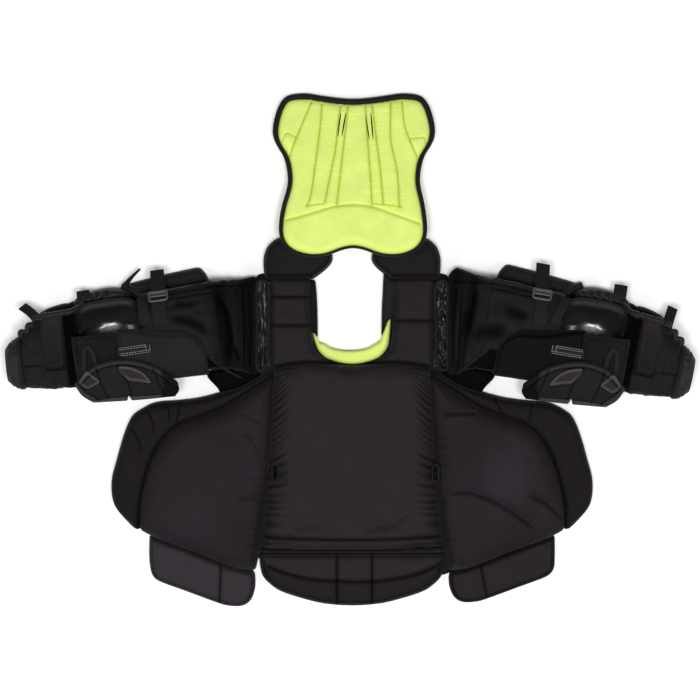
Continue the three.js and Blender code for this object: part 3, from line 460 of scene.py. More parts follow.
def base_loop(node, place=None, step=2.6, reach=4.0):
    """Outline of a CAD pad's flat underside, as a smooth closed line that runs against the clock."""
    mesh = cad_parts[node].data
    mesh.calc_loop_triangles()
    co = np.array([v.co for v in mesh.vertices]) * 1000
    if place:
        co = place(co)
    keys = {}
    index = [keys.setdefault(tuple(np.round(p, 2)), len(keys)) for p in co]
    spots = np.array(list(keys))
    edges = {}
    for tri in mesh.loop_triangles:
        a, b, c = (index[i] for i in tri.vertices)
        if max(spots[a][2], spots[b][2], spots[c][2]) <= 0.06:
            edges.update(dict.fromkeys([(a, b), (b, c), (c, a)]))
    after = {u: v for u, v in edges if (v, u) not in edges}
    start = next(iter(after))
    ring = [start]
    while after[ring[-1]] != start:
        ring.append(after[ring[-1]])
    loop = spots[ring][:, :2]
    area = np.sum(loop[:, 0] * np.roll(loop[:, 1], -1) - loop[:, 1] * np.roll(loop[:, 0], -1))
    line = spline(loop if area > 0 else loop[::-1], step, closed=True)
    return softened(line, reach, step)


def filled(loop, step, lines=()):
    """Triangles that fill a closed line evenly, with corners along the lines inside it.

    Returns points, faces and the places of the closed line's points.
    """
    low, high = loop.min(0), loop.max(0)
    rows = np.arange(low[1], high[1], step * 0.866)
    x, y = np.meshgrid(np.arange(low[0], high[0], step), rows)
    x = x + (np.arange(len(rows)) % 2)[:, None] * step / 2
    spots = np.stack([x.ravel(), y.ravel()], 1)
    spots = spots[inside(spots, loop)]
    for line in lines:
        marks = spline(line, step)
        spots = np.vstack([spots[away(spots, marks)[0] > step * 0.6], marks[inside(marks, loop)]])
    spots = spots[away(spots, loop, True)[0] > step * 0.55]
    n = len(loop)
    given = [Vector(p) for p in np.vstack([loop, spots])]
    border = [(i, (i + 1) % n) for i in range(n)]
    found, _, faces, origin, _, _ = delaunay_2d_cdt(given, border, [], 1, 1e-5)
    points = np.array([(v.x, v.y) for v in found])
    place = {old: new for new, olds in enumerate(origin) for old in olds}
    tri = np.array(faces)
    a, b, c = (points[tri[:, k]] for k in range(3))
    area = (b - a)[:, 0] * (c - a)[:, 1] - (b - a)[:, 1] * (c - a)[:, 0]
    tri[area < 0] = tri[area < 0][:, ::-1]
    return points, [tuple(int(i) for i in t) for t in tri], [place[i] for i in range(n)]


@dataclass
class Pad:
    """A stuffed pad on a flat base: crowned, rounded at its edges, pressed in along its seams.

    Seams and creases list a line, a depth and a width. Shared lists neighbours and the height at which they
    are sewn on. Relief adds its own height and painted shade, limit keeps the top down, and tone darkens or
    lightens places, as painted shade or painted light on most pads.
    Border is how far in from the edge a line of stitches runs, pucker and edge are the heights of the
    puckers at seams and at the edge, line is how dark the edge is, and foot is how far the base is drawn in.
    """
    loop: np.ndarray
    size: Size
    seams: tuple = ()
    creases: tuple = ()
    shared: tuple = ()
    relief: object = None
    limit: object = None
    tone: object = None
    border: float = 0
    pucker: float = 0.8
    edge: float = 0.5
    line: float = 0.6
    foot: float = -1.2
    seed: int = 1

    def __post_init__(self):
        self.seams = [(spline(line, 3), depth, width) for line, depth, width in self.seams]
        self.creases = [(spline(line, 4), depth, width) for line, depth, width in self.creases]
        self.shared = [(base_loop(name, step=5), level) for name, level in self.shared]

    def height(self, points):
        """Height of the top, and how dark it is painted there: seams, edges, painted shade, and painted light
        where negative.
        """
        size, seed = self.size, self.seed
        near, place = away(points, self.loop, True)
        rim = np.full(len(points), float(size.rim))
        for line, level in self.shared:
            rim += (level - rim) * smooth(near - away(points, line, True)[0], -13, -5)
        share = np.clip(near / size.round, 0, 1)
        z = rim + (size.crown - rim) * np.sqrt(1 - (1 - share) ** 2)
        full = smooth(near, 2, size.round)
        z += full * (1.1 * waves(points, 95, seed) + 0.6 * waves(points, 38, seed + 1))
        fade = np.exp(-near / (size.round * 0.7)) * smooth(near, 0, 3)
        z += self.edge * fade * ripple(place, 11, seed + 2)
        # A dark line along the edge, partly the seam there and partly painted shade where the pad rounds
        # down.
        shade = self.line * bell(near, 3.5)
        hold = smooth(near, 0, 5)
        for i, (line, depth, width) in enumerate(self.seams):
            gap, along = away(points, line)
            z -= depth * bell(gap, width) * hold
            z -= depth * 0.45 * np.exp(-gap / (width * 1.8)) * hold
            z += self.pucker * np.exp(-gap / 9) * smooth(gap, 0, 3) * ripple(along, 8, seed + 5 + i) * hold
            shade = np.maximum(shade, bell(gap, 1.2))
        # Creases: painted shade in the valley, and a painted highlight on the ridge above it.
        for line, depth, width in self.creases:
            gap, along = away(points, line)
            ends = faded_ends(line, along, 0.2)
            lit = ends * bell(away(points, line + [0, 1.7 * width])[0], width * 1.2)
            z += depth * (0.5 * lit - ends * bell(gap, width))
            dark = (0.05 + 0.18 * depth) * ends * bell(gap, width * 0.35)
            shade = np.maximum(shade - 0.13 * lit, dark)
        if self.border:
            z -= 1.3 * bell(near - self.border, 1.6)
            shade = np.maximum(shade, 0.8 * bell(near - self.border, 1.0))
        if self.relief:
            more, dark = self.relief(points, near, place)
            z += more
            shade = np.maximum(shade, dark)
        if self.limit:
            z = np.minimum(z, self.limit(points))
        if self.tone is not None:
            tone = self.tone(points) if callable(self.tone) else self.tone
            shade = np.clip(shade + tone, -1, 1)
        return z, shade

    def mesh(self, step):
        """Points, faces and shade of the top, the side and the base."""
        points, faces, ring = filled(self.loop, step, [line for line, _, _ in self.seams + self.creases])
        z, shade = self.height(points)
        walls, darks = [np.column_stack([points, z])], [shade]
        last, start, n = ring, len(points), len(ring)
        for share, pull in PAD_SIDE:
            walls.append(np.column_stack([inset(self.loop, pull * self.foot), z[ring] * share]))
            # The sides are painted darker: painted shade.
            darks.append(np.full(n, 0.6))
            now = list(range(start, start + n))
            faces += [(last[i], now[i], now[(i + 1) % n], last[(i + 1) % n]) for i in range(n)]
            last, start = now, start + n
        faces.append(tuple(reversed(last)))
        return np.vstack(walls), faces, np.concatenate(darks)

    def on_top(self, line, lift):
        """A line laid on the pad."""
        return np.column_stack([line, self.height(line)[0] + lift])


def pressed(lines, depth, width):
    """Seams or creases of one depth and width."""
    return [(line, depth, width) for line in lines]


def padded(name, node, look, size, fill, side="", step=2.6, reach=4.0, warp=None, **more):
    """A stuffed pad in the place of a CAD pad."""
    loop = base_loop(named(node, side), step=step, reach=reach)
    shape = Pad(warp(loop) if warp else loop, size, **more)
    points, faces, shade = shape.mesh(step)
    make(name, points, faces, look, node, side, fill, shade)
    return shape


def low_cloth(loop, seed):
    """Points, faces and shade of a thin piece of cloth between pads."""
    return Pad(loop, LOW_CLOTH, foot=0, seed=seed).mesh(4)


def swept(path, section, closed=False, wide=None):
    """A band or bead along a path; the section lists (across, up) points against the clock."""
    if closed:
        along = unit(np.roll(path, -1, axis=0) - np.roll(path, 1, axis=0))
    else:
        along = unit(np.gradient(path, axis=0))
    up = np.array([0, 0, 1.0]) - along * along[:, 2:3]
    up[np.linalg.norm(up, axis=1) < 1e-3] = [0, 1, 0]
    up = unit(up)
    across = np.cross(along, up)
    wide = np.ones(len(path)) if wide is None else wide
    reach = section[None, :, :1] * wide[:, None, None]
    rows = path[:, None] + reach * across[:, None] + section[None, :, 1:] * up[:, None]
    count = rows.shape[:2]
    faces = grid_faces(*count, closed_rows=True, closed_columns=True) if closed else tube_faces(*count)
    points = rows.reshape(-1, 3)
    return points, outward(points, faces)


def oval(width, height, count=12, power=2.4):
    """A section between an ellipse, at power 2, and a box with round corners."""
    angle = np.linspace(0, math.tau, count, endpoint=False)
    x = signed_power(np.cos(angle), 2 / power) * width / 2
    return np.stack([x, signed_power(np.sin(angle), 2 / power) * height / 2], 1)


def stitches(path, length, gap, thick, lift):
    """A row of short threads on a path."""
    run = running(path)
    parts = []
    for start in np.arange(gap, run[-1] - length, length + gap):
        line = at_marks(path, run, start + length * np.linspace(0, 1, 4))
        line[:, 2] += lift * np.array([0.2, 1, 1, 0.2])
        parts.append(swept(line, oval(thick, thick, 6, 2)))
    return parts


# Materials

Look = namedtuple("Look", "material slot")


class Shading:
    """A material in the making; one node's output that is given to another node is linked to it."""

    def __init__(self, name, slot):
        self.look = Look(bpy.data.materials.new(name), slot)
        self.look.material.use_nodes = True
        self.tree = self.look.material.node_tree

    def put(self, socket, value):
        if isinstance(value, bpy.types.NodeSocket):
            self.tree.links.new(value, socket)
        else:
            socket.default_value = value

    def add(self, kind, out, *terms, **values):
        """A new node's output; terms go to its inputs in turn, values to the inputs or settings so named."""
        made = self.tree.nodes.new("ShaderNode" + kind)
        for key, value in values.items():
            if key in made.inputs:
                self.put(made.inputs[key], value)
            else:
                setattr(made, key, value)
        for socket, term in zip(made.inputs, terms):
            self.put(socket, term)
        return made.outputs[out]

    def noise(self, place, scale, detail, **values):
        return self.add("TexNoise", "Fac", Vector=place, Scale=scale, Detail=detail, **values)

    def threads(self, place, width, distortion, direction):
        """Ribs of that width in millimetres."""
        rate = math.tau / (width / 1000) / 20
        return self.add("TexWave", "Fac", Vector=place, Scale=rate, Distortion=distortion,
                        bands_direction=direction)

    def ramp(self, value, colour, low, high, ends=(0, 1)):
        """A colour times low to a colour times high, as the value goes from one end to the other."""
        out = self.add("ValToRGB", "Color", value)
        for element, place, share in zip(out.node.color_ramp.elements, ends, (low, high)):
            element.position = place
            element.color = (*[min(1, c * share) for c in colour], 1)
        return out

    def mixed(self, share, first, second):
        """From a colour of the tree to a fixed colour."""
        return self.add("Mix", "Result", data_type="RGBA", Factor=share, A=first, B=(*second, 1))

    def between(self, value, low, high):
        return self.add("MapRange", "Result", value, 0, 1, low, high)

    def bump(self, height, strength, distance, **values):
        return self.add("Bump", "Normal", Height=height, Strength=strength, Distance=distance, **values)

    def finished(self, inputs):
        shader = self.tree.nodes["Principled BSDF"]
        for key, value in inputs.items():
            self.put(shader.inputs[key], value)
        return self.look


def cloth(name, slot, colour, rough=0.64, gloss=0.145, sheen=0.04, weave=1.1, depth=0.25, mottle=0.22,
          crinkle=0.3, dark=(0.85, 0.85, 0.85), light=4):
    """Woven cloth: threads, uneven dye, fine crinkles; seams and painted shade darker, painted light paler.
    """
    s = Shading(name, slot)
    place = s.add("TexCoord", "Object")
    cloud = s.noise(place, 26.0, 5.0, Roughness=0.6)
    part = s.add("Math", "Value", cloud, 0.65, operation="MULTIPLY")
    dye = s.add("Math", "Value", s.noise(place, 420.0, 2.0), 0.35, part, operation="MULTIPLY_ADD")
    tint = s.ramp(dye, colour, 1 - mottle, 1 + mottle, (0.3, 0.7))
    # The shade attribute: dark seams and painted shade; where it is negative, painted light.
    sewn = s.add("Attribute", "Fac", attribute_name="shade")
    darker = s.mixed(sewn, tint, [c * (1 - d) for c, d in zip(colour, dark)])
    painted_light_and_pale_hem = s.add("Math", "Value", sewn, -1, operation="MULTIPLY")
    paler = s.mixed(painted_light_and_pale_hem, darker, [min(1, c * light + 0.01) for c in colour])
    warp, weft = (s.threads(place, weave, 0.6, direction) for direction in "XY")
    woven = s.bump(s.add("Math", "Value", warp, weft, operation="MAXIMUM"), depth, 0.0004)
    crumple = s.noise(place, 150.0, 4.0, Roughness=0.55, Distortion=0.4)
    # Where the shade attribute darkens, it also takes most of the gloss away: painted shade on the sheen.
    return s.finished({
        "Base Color": paler, "Specular IOR Level": s.between(sewn, gloss, gloss * 0.08),
        "Roughness": s.between(cloud, rough - 0.08, min(1, rough + 0.08)),
        "Sheen Weight": sheen, "Sheen Roughness": 0.5,
        "Normal": s.bump(crumple, crinkle, 0.0012, Normal=woven),
    })


def webbing(name, slot, colour):
    """Woven strap: ribs across the strap and lengthwise ribs, from the piece's own strap coordinates."""
    s = Shading(name, slot)
    place = s.add("TexCoord", "UV")
    ribs, long = s.threads(place, 2.2, 0.5, "X"), s.threads(place, 2.75, 0.3, "Y")
    both = s.add("Math", "Value", ribs, long, operation="MULTIPLY")
    return s.finished({
        "Base Color": s.ramp(both, colour, 0.6, 1.5), "Roughness": 0.65, "Specular IOR Level": 0.14,
        "Normal": s.bump(both, 0.5, 0.0006),
    })


def moulded(name, slot, colour, rough, grain=900.0, depth=0.08, coat=0.0, gloss=0.5):
    """Moulded plastic, rubber or foam with a fine grain and small scuffs."""
    s = Shading(name, slot)
    place = s.add("TexCoord", "Object")
    cloud = s.noise(place, 60.0, 6.0)
    return s.finished({
        "Base Color": s.ramp(cloud, colour, 0.75, 1.25), "Specular IOR Level": gloss,
        "Roughness": s.between(cloud, max(0.03, rough - 0.06), rough + 0.06),
        "Coat Weight": coat, "Coat Roughness": 0.08,
        "Normal": s.bump(s.noise(place, grain, 2.0), depth, 0.0003),
    })


LIME = cloth("lime_knit", "lime_fabric", (0.618, 0.745, 0.178), rough=0.85, gloss=0.1, sheen=0.1, weave=1.4,
             depth=0.15, mottle=0.07, crinkle=0.1, dark=(0.4, 0.33, 0.9))
LINING = cloth("lining_nylon", "lining_fabric", (0.0098, 0.0068, 0.0078), gloss=0.13)
WINGS = cloth("wing_nylon", "wing_fabric", (0.0086, 0.0056, 0.0086), gloss=0.122)
FLAPS = cloth("flap_nylon", "wing_fabric", (0.018, 0.0135, 0.018))
ARM = cloth("arm_nylon", "arm_fabric", (0.0044, 0.0042, 0.0042), gloss=0.1)
ROLLED = cloth("roll_nylon", "arm_fabric", (0.006, 0.0056, 0.0056), rough=0.5, gloss=0.17, crinkle=0.5)
PANEL = cloth("panel_stretch", "panel_fabric", (0.0074, 0.0058, 0.0066), rough=0.7, gloss=0.13, weave=0.9,
              crinkle=0.08, mottle=0.12)
FOAM = cloth("moulded_cloth", "moulded_foam", (0.0072, 0.006, 0.0069), gloss=0.095, rough=0.66, weave=0.9,
             crinkle=0.05, light=7)
SHINY = cloth("coated_nylon", "shiny_fabric", (0.016, 0.016, 0.0162), rough=0.34, gloss=0.45, sheen=0.0,
              crinkle=0.5)
ELASTIC = cloth("ribbed_elastic", "ribbed_elastic", (0.0056, 0.0042, 0.0058), rough=0.7, gloss=0.1,
                crinkle=0.05)
TAPE = cloth("edge_tape", "edge_tape", (0.006, 0.0052, 0.0055), gloss=0.12, weave=1.8, depth=0.5, crinkle=0.1)
UNDERARM_CLOTH = cloth("underarm_cloth", "webbing", (0.004, 0.004, 0.0045), gloss=0.1, crinkle=0.4)
FLAP_CLOTH = cloth("wrist_flap_cloth", "webbing", (0.0075, 0.0055, 0.0078), gloss=0.13, crinkle=0.15)
FORE_CLOTH = cloth("forearm_nylon", "arm_fabric", (0.006, 0.0044, 0.0048), gloss=0.1)
WEB = webbing("webbing", "webbing", (0.006, 0.006, 0.0062))
GLOSS = moulded("gloss_plastic", "cap_plastic", (0.015, 0.0145, 0.015), 0.27, depth=0.02, coat=0.3)
BUCKLE = moulded("buckle_plastic", "buckle_plastic", (0.045, 0.045, 0.045), 0.36)
CUFF = moulded("cuff_rubber", "cuff_rubber", (0.006, 0.006, 0.006), 0.6, grain=300, depth=0.3, gloss=0.24)
THREAD = moulded("pale_thread", None, (0.3, 0.29, 0.3), 0.7)
DIM_THREAD = moulded("dim_thread", None, (0.03, 0.028, 0.03), 0.7)


# Back panel: how far it stands out beyond its base, and the width of its bound edge down its length
BACK_OUT = 10.2
TAPE_PLACES = [-236, -170, -70, 0]
TAPE_WIDTHS = [7.2, 7.6, 9.5, 9.5]
TAPE_AT_BOTTOM = 3.6


def back_lines(lines):
    """Lines seen from above, laid on the leaning panel."""
    middle = 16
    spots = [[(x, y, (HINGE[1] - y) * math.tan(TILT) + middle) for x, y in line] for line in lines]
    return [off_back(np.array(line))[:, :2] for line in spots]


def back_panel():
    """Quilted panel inside a bound edge that is widest at the top and narrowest at the bottom."""
    outer = inset(base_loop("back_pad", off_back, reach=6), -BACK_OUT)
    x, y = outer.T.copy()
    outer[:, 0] += 2.5 * smooth(x, 20, 110) - 3.2 * smooth(-x, 60, 110) * smooth(-y, 170, 230)
    outer[:, 1] += 3.5 * smooth(y, -60, -5) - 7.2 * smooth(-y, 190, 280) * (1 - 0.35 * bell(x, 35))
    into = inward(outer)
    width = np.where(into[:, 1] > 0.5, TAPE_AT_BOTTOM, np.interp(outer[:, 1], TAPE_PLACES, TAPE_WIDTHS))
    width = softened(width[:, None], 14, 2.6)
    channels = back_lines(BACK_SEAMS)
    seams = pressed(channels, 3.4, 1.5) + pressed(back_lines([BACK_YOKE_SEAM]), 2.4, 3.0)
    seams += pressed(back_lines(BACK_CORNER_SEAMS), 1.2, 1.4)
    hollows = [spline(line, 4) for line in channels[1:7]]

    # Painted shade in the hollows beside the quilted channels.
    def hollow_tone(points):
        return 0.16 * np.exp(-np.min([away(points, line)[0] for line in hollows], axis=0) / 5.0)

    shape = Pad(outer + into * width, BACK, seams=seams, tone=hollow_tone, pucker=0.5, edge=0.25, foot=0.5,
                seed=3)
    points, faces, shade = shape.mesh(1.9)
    make("back_cushion", on_back(points), faces, LIME, "back_pad", fill=0.6, shade=shade)

    # Each slit is a dark bead on the panel: its stitched edge, and painted shade for the opening inside.
    slits = []
    for line in back_lines(BACK_SLITS):
        path = shape.on_top(spline(line, 2), 0.1)
        slits.append(swept(path, oval(2.6, 1.0, 8), wide=np.sin(np.linspace(0.25, 2.9, len(path))) ** 0.6))
    points, faces = joined(slits)
    make("back_slits", on_back(points), faces, TAPE, slotted=False)

    path = np.column_stack([outer + into * width / 2, np.full(len(outer), 6.4)])
    points, faces = swept(path, oval(1, 11.6, 14, 2.8), closed=True, wide=width[:, 0] + 0.6)
    make("back_edge", on_back(points), faces, TAPE, "back_binding", fill=0.4)
    row = np.column_stack([outer + into * (width - 1.6), np.full(len(outer), 11.3)])
    points, faces = joined(stitches(np.vstack([row, row[:1]]), 2.6, 1.6, 0.6, 0.2))
    make("back_edge_stitching", on_back(points), faces, DIM_THREAD)


# Chest: where its sides are gathered, a row of pulls, a ridge beside the gathers, a tuck, slits by the wings
GATHERED_X = (92, 122)
PULLS_Y = -318
RIDGE_X = 116
TUCK = (120, -353)
SLIT_DOWN = (262, 272)
# Hems: the belly's runs below a line, the shoulder's outside one
BELLY_HEM_Y = -372
SHOULDER_HEM_X = 118


def gathers(points, near, place):
    """Pleats down the chest's sides, hollows behind its loops, a tuck, and open slits beside the wings, with
    painted shade in the pleats' valleys, the tuck, the hollows and the slits.
    """
    x, y = points[:, 0] - SHIFT[0], points[:, 1]
    beside = np.where(x > 0, x - LOOP_AT["right"], x + LOOP_AT["left"])
    edge = bell(near, 27) * smooth(near, 0, 5) * smooth(np.abs(x), *GATHERED_X)
    slanted = y - smooth(y, -300, -90) * near
    fold = pleats(slanted, 13, 31)
    pull = bell(near, 40) * bell(y - PULLS_Y, 18) * pleats(x * 0.22 + y, 12, 35) * smooth(near, 0, 6)
    ridge = bell(np.abs(x) - RIDGE_X, 7) * smooth(y, -330, -300) * smooth(-y, 40, 80)
    hang = bell(beside, 19.5) * bell(y - LOOP_Y, 26)
    hole = bell(beside, 6) * bell(y - LOOP_Y, 12)
    tuck = bell(x - TUCK[0], 22) * bell(y - TUCK[1], 3.2)
    slit = bell(near, 5) * smooth(-y, *SLIT_DOWN) * smooth(np.abs(x), 120, 130)
    z = 8.5 * edge * fold + 1.2 * edge * ripple(slanted, 6.5, 33) + 2.0 * pull + ridge
    dark = edge * np.clip(0.25 - fold * 1.6, 0, 1) + 0.7 * tuck + 0.9 * hole + slit
    return z - 10 * hang - 5 * tuck - 8 * slit, dark


def below_arc(points):
    """Darker below the belly's curved seam."""
    arc = np.array(BELLY_ARC, float)
    return 0.3 * smooth(np.interp(points[:, 0], arc[:, 0], arc[:, 1]) - points[:, 1], -1, 3)


def pointed(loop):
    """Draws the ends of the neck liner and of the neck edges to slanting points."""
    x, y = loop[:, 0] - SHIFT[0], loop[:, 1]
    rise = np.where(x < 0, -14 * smooth(x, -70, -58), 34 * smooth(x, 50, 68) - 10)
    return loop + np.stack([np.zeros(len(x)), rise * smooth(y, 8, 31) * smooth(-y, -115, -65)], 1)


def neck_shape(loop, side):
    """Points a neck edge, draws it outwards, and lets the right one run up beside the pad above it."""
    drawn = pointed(loop)
    rise = 13 * smooth(drawn[:, 1], 100, 126) * smooth(74 - drawn[:, 0], 0, 10) * (side == "right")
    return drawn + np.stack([5 * ARMS[side].sign * smooth(outwards(loop, side), 64, 72), rise], 1)


def hem(shape, name, side, keep, width=6.5, height=5.0):
    """A bound edge along the part of a pad's outline that keep picks out."""
    loop = inset(spline(shape.loop, 4, closed=True), 1.6)
    wanted = keep(loop)
    start = next((i for i in range(len(loop)) if wanted[i] and not wanted[i - 1]), 0)
    order = np.roll(np.arange(len(loop)), -start)
    line = loop[[i for i in order if wanted[i]]]
    path = np.column_stack([line, np.full(len(line), shape.size.rim * 0.82)])
    make(name, *swept(path, oval(width, height, 10, 2.3)), TAPE, side=side, slotted=False)


def chest_pieces():
    """Chest, belly and the front of the neck."""
    neighbours = [("shoulder_strap_right", 30), ("shoulder_strap_left", 30), ("belly_flap", 25)]
    padded("chest_lining", "chest_pad", LINING, CHEST, 0.6, seams=CHEST_SEAMS, pucker=0.9, relief=gathers,
           creases=pressed(CHEST_CREASES, 1.6, 5), shared=neighbours, seed=11)
    belly = padded("belly_pad", "belly_flap", LINING, BELLY, 0.45, border=6, tone=below_arc, seed=17,
                   seams=pressed(BELLY_SEAMS, 3.6, 2.6), shared=[("chest_pad", 19)])
    hem(belly, "belly_hem", "", lambda p: p[:, 1] < BELLY_HEM_Y)
    padded("neck_liner", "collar_liner", LIME, LINER, 0.6, step=2.2, reach=2, edge=0.7, line=0.35, foot=0,
           warp=pointed, seed=21)
    loop = base_loop("collar_liner")
    points, faces, shade = low_cloth(pointed(loop) + 7 * unit(loop - [SHIFT[0], 60]), 58)
    make("neck_junction", points, faces, LINING, shade=shade)


def shoulder_pieces(side):
    """Shoulder pad, strap and neck edge, and the low cloth that joins pads on that side."""
    sign = ARMS[side].sign
    # The shoulder pad and the strap are painted darker all over: painted shade.
    top = padded("shoulder_cushion", "shoulder_top", LINING, TOP, 0.7, side, border=6, tone=0.4,
                 limit=lambda p: (HINGE[1] - p[:, 1]) * math.tan(TILT) - 1.0,
                 shared=[(f"shoulder_strap_{side}", 30)], seed=41 + sign)
    hem(top, "shoulder_hem", side, lambda p: outwards(p, side) > SHOULDER_HEM_X)
    padded("strap_cushion", "shoulder_strap", LINING, STRAP, 0.7, side, tone=0.12, seed=47 + sign,
           seams=pressed(STRAP_SEAMS[side], 3.6, 2.6),
           shared=[(f"shoulder_top_{side}", 29), ("chest_pad", 29)])
    padded("neck_edge", "collar_side", TAPE, COLLAR, 0.5, side, reach=1.5, edge=0.3, foot=0.2, seed=53 + sign,
           warp=lambda loop: neck_shape(loop, side), tone=NECK_EDGE_TONE[side])
    for name, corners in JUNCTIONS.items():
        drop = HIP_DROP[side] if name == "hip_cloth" else 0
        spots = [(x * sign + SHIFT[0], y - drop * (y < -360)) for x, y in corners]
        points, faces, shade = low_cloth(spline(spots[::-sign], 3, closed=True), 57)
        make(name, points, faces, ARM, side=side, shade=shade)


def wing_pieces(side):
    """Rib pad with its rim, the flap below it and the webbing loop beside it."""
    sign = ARMS[side].sign

    def pulled(points, near, place):
        """Puckers where the wing is sewn to the chest, and an open slit below, with painted shade in the
        puckers' valleys and the slit.
        """
        x = outwards(points, side)
        fold = np.exp(-near / 16) * smooth(near, 0, 4) * pleats(place, 19, 61) * smooth(240 - x, 0, 60)
        slit = bell(near, 6) * smooth(-points[:, 1], *SLIT_DOWN) * smooth(205 - x, 0, 10)
        return 3.0 * fold - 11.0 * slit, np.clip(-fold, 0, 0.5) + slit

    def outer_edge(points):
        x, y = outwards(points, side), points[:, 1]
        return (y < -440) | (x > 352) | (y < -402 - 0.42 * (260 - x))

    # The wing is painted with broad waves of light and shade, and the rim darker all over: painted shade.
    padded("wing_cushion", "wing_pad", WINGS, WING, 0.65, side, step=2.2, relief=pulled, seed=63 + sign,
           creases=pressed(WING_CREASES[side], WING_CREASE_DEPTH[side], 3.4),
           shared=[(f"wing_rim_{side}", 25)], tone=lambda p: 0.04 + 0.14 * waves(p, 150, 65 + sign))
    padded("rim_cushion", "wing_rim", WINGS, RIM, 0.7, side, edge=1.1, tone=0.4, seed=71 + sign,
           creases=pressed(RIM_CREASES[side], 2.4, 3.6), shared=[(f"wing_pad_{side}", 20)])
    flap = padded("flap_cushion", "side_flap", FLAPS, FLAP, 0.45, side, border=5, tone=FLAP_TONE[side],
                  seams=pressed(FLAP_SEAMS[side], 3.4, 2.6), seed=79 + sign)
    hem(flap, "flap_hem", side, outer_edge, 5.0, 4.0)

    low, high = node_box(f"side_loop_{side}")
    middle = (low + high) / 2
    angle = np.linspace(0, math.tau, 40, endpoint=False)
    path = np.stack([
        LOOP_AT[side] * sign + SHIFT[0] + 5.6 * signed_power(np.cos(angle), 0.5),
        middle[1] + 15 * signed_power(np.sin(angle), 0.5),
        middle[2] + 0.6 * np.cos(2 * angle),
    ], 1)
    points, faces = swept(path, oval(3.6, 3.0, 10), closed=True)
    make("strap_loop", points, faces, WEB, "side_loop", side, uv=points[:, :2])


def mouth_pieces(side):
    """Bound mouth of a sleeve and the crumpled lining inside it."""
    sign = ARMS[side].sign
    low, high = node_box(f"armhole_trim_{side}")
    wide, tall = (high - low)[:2]
    start = low[0] if sign > 0 else high[0]
    corners = [(start + sign * (u * wide + dx), low[1] + v * tall + dy) for u, dx, v, dy in MOUTH_CORNERS]
    line = spline(corners, 3, closed=True)
    path = np.column_stack([line, (low[2] + high[2]) / 2 + 0.7 * waves(line, 40, 91)])
    make("mouth_binding", *swept(path, oval(5.0, 7.0), closed=True), TAPE, "armhole_trim", side, 0.5)

    low, high = node_box(f"armhole_gather_{side}")
    x, y = np.meshgrid(np.linspace(low[0], high[0], 26), np.linspace(low[1] - 4, high[1] + 4, 170))
    flat = np.stack([x.ravel(), y.ravel()], 1)
    long = MOUTH_FOLDS[side]
    fold = 6.5 * waves(flat, 15, 95 + sign, (0.7, long)) + 2.2 * waves(flat, 7, 97 + sign, (0.8, long))
    z = np.clip(14 + fold, 8, 21).reshape(x.shape)
    points, faces = shell(np.stack([x, y, z], 2), np.stack([x, y, z - 3.0], 2))
    make("mouth_lining", points, faces, SHINY, "armhole_gather", side, 0.1)


# Sleeves: x, low and high across the arm (y), low and high up (z), and how far the section leans with the arm
SHOULDER_ROWS = [
    (11.9, -80, 86, 3, 31, 1), (22, -77, 96, 4, 44, 0.85), (33, -74, 101, 8, 49, 0.65),
    (42, -71, 99, 13, 62, 0.45), (56, -66, 97, 19, 70, 0.25), (74, -62, 96, 22.5, 80, 0),
]
SHOULDER_TOPS = dict(right=(90, 103, 102, 99, 97, 96), left=(95, 94, 92.5, 93, 95, 96))
UPPER_ROWS = [
    (74.4, -62, 96, 22.5, 80, 0), (96, -61, 95, 22.5, 84, 0), (124, -60, 95, 22.5, 82, 0),
    (166, -59, 93, 22.5, 84, 0), (208, -56, 90, 22.5, 80, 0),
]
ELBOW_ROWS = [(256, -55, 86, 22.5, 77, 0), (329, -58, 79, 20.5, 74, 0), (345, -58, 78, 20.5, 74, 0)]
WHOLE_ROWS = UPPER_ROWS + ELBOW_ROWS
FOREARM_ROWS = [
    (1, -58, 78, 20.5, 74, 0), (30, -58, 77, 20.5, 72, 0), (52, -57, 74, 20.5, 74, 0),
    (80, -53, 60, 20.5, 70, 0), (103, -50, 40, 20.5, 67, 0),
]
CUFF_ROWS = [
    (103.4, -51, 40, 18, 69, 0), (107, -52, 40, 16, 70, 0), (122, -46, 33, 16, 66, 0),
    (132, -37, 23, 20, 60, 0),
]
CUFF_HEM_ROWS = [
    (101, -52, 42, 18.5, 69.5, 0), (105.5, -53.8, 42, 15.5, 71.8, 0), (110.5, -52.6, 40.6, 14.6, 70.6, 0),
]
# Roundness of a section, from 2 for an ellipse up to a box; walls; length on the skin for one radian
SQUARE = 2.5
SLEEVE_WALL = 2
CUFF_WALL = 4.5
CUFF_HEM_WALL = 1.5
SKIN_RADIUS = 66
PANEL_RADIUS = 62

# Irregular folds of the sleeves: height, wavelength, seed and stretch
GUSSET_FOLDS = [(1.6, 30, 0, (0.5, 3)), (0.5, 12, 1, (0.7, 2))]
UPPER_FOLDS = [(2.4, 70, 3, (1.5, 0.8)), (0.9, 24, 4, (1.6, 0.8))]
FORE_FOLDS = [(1.5, 34, 6, (0.8, 1.5)), (0.6, 13, 7, (0.8, 1.5))]
CUFF_FOLDS = [(0.9, 18, 8, (1, 1))]
BAND_FOLDS = [(2.4, 24, 15, (0.7, 1.7))]
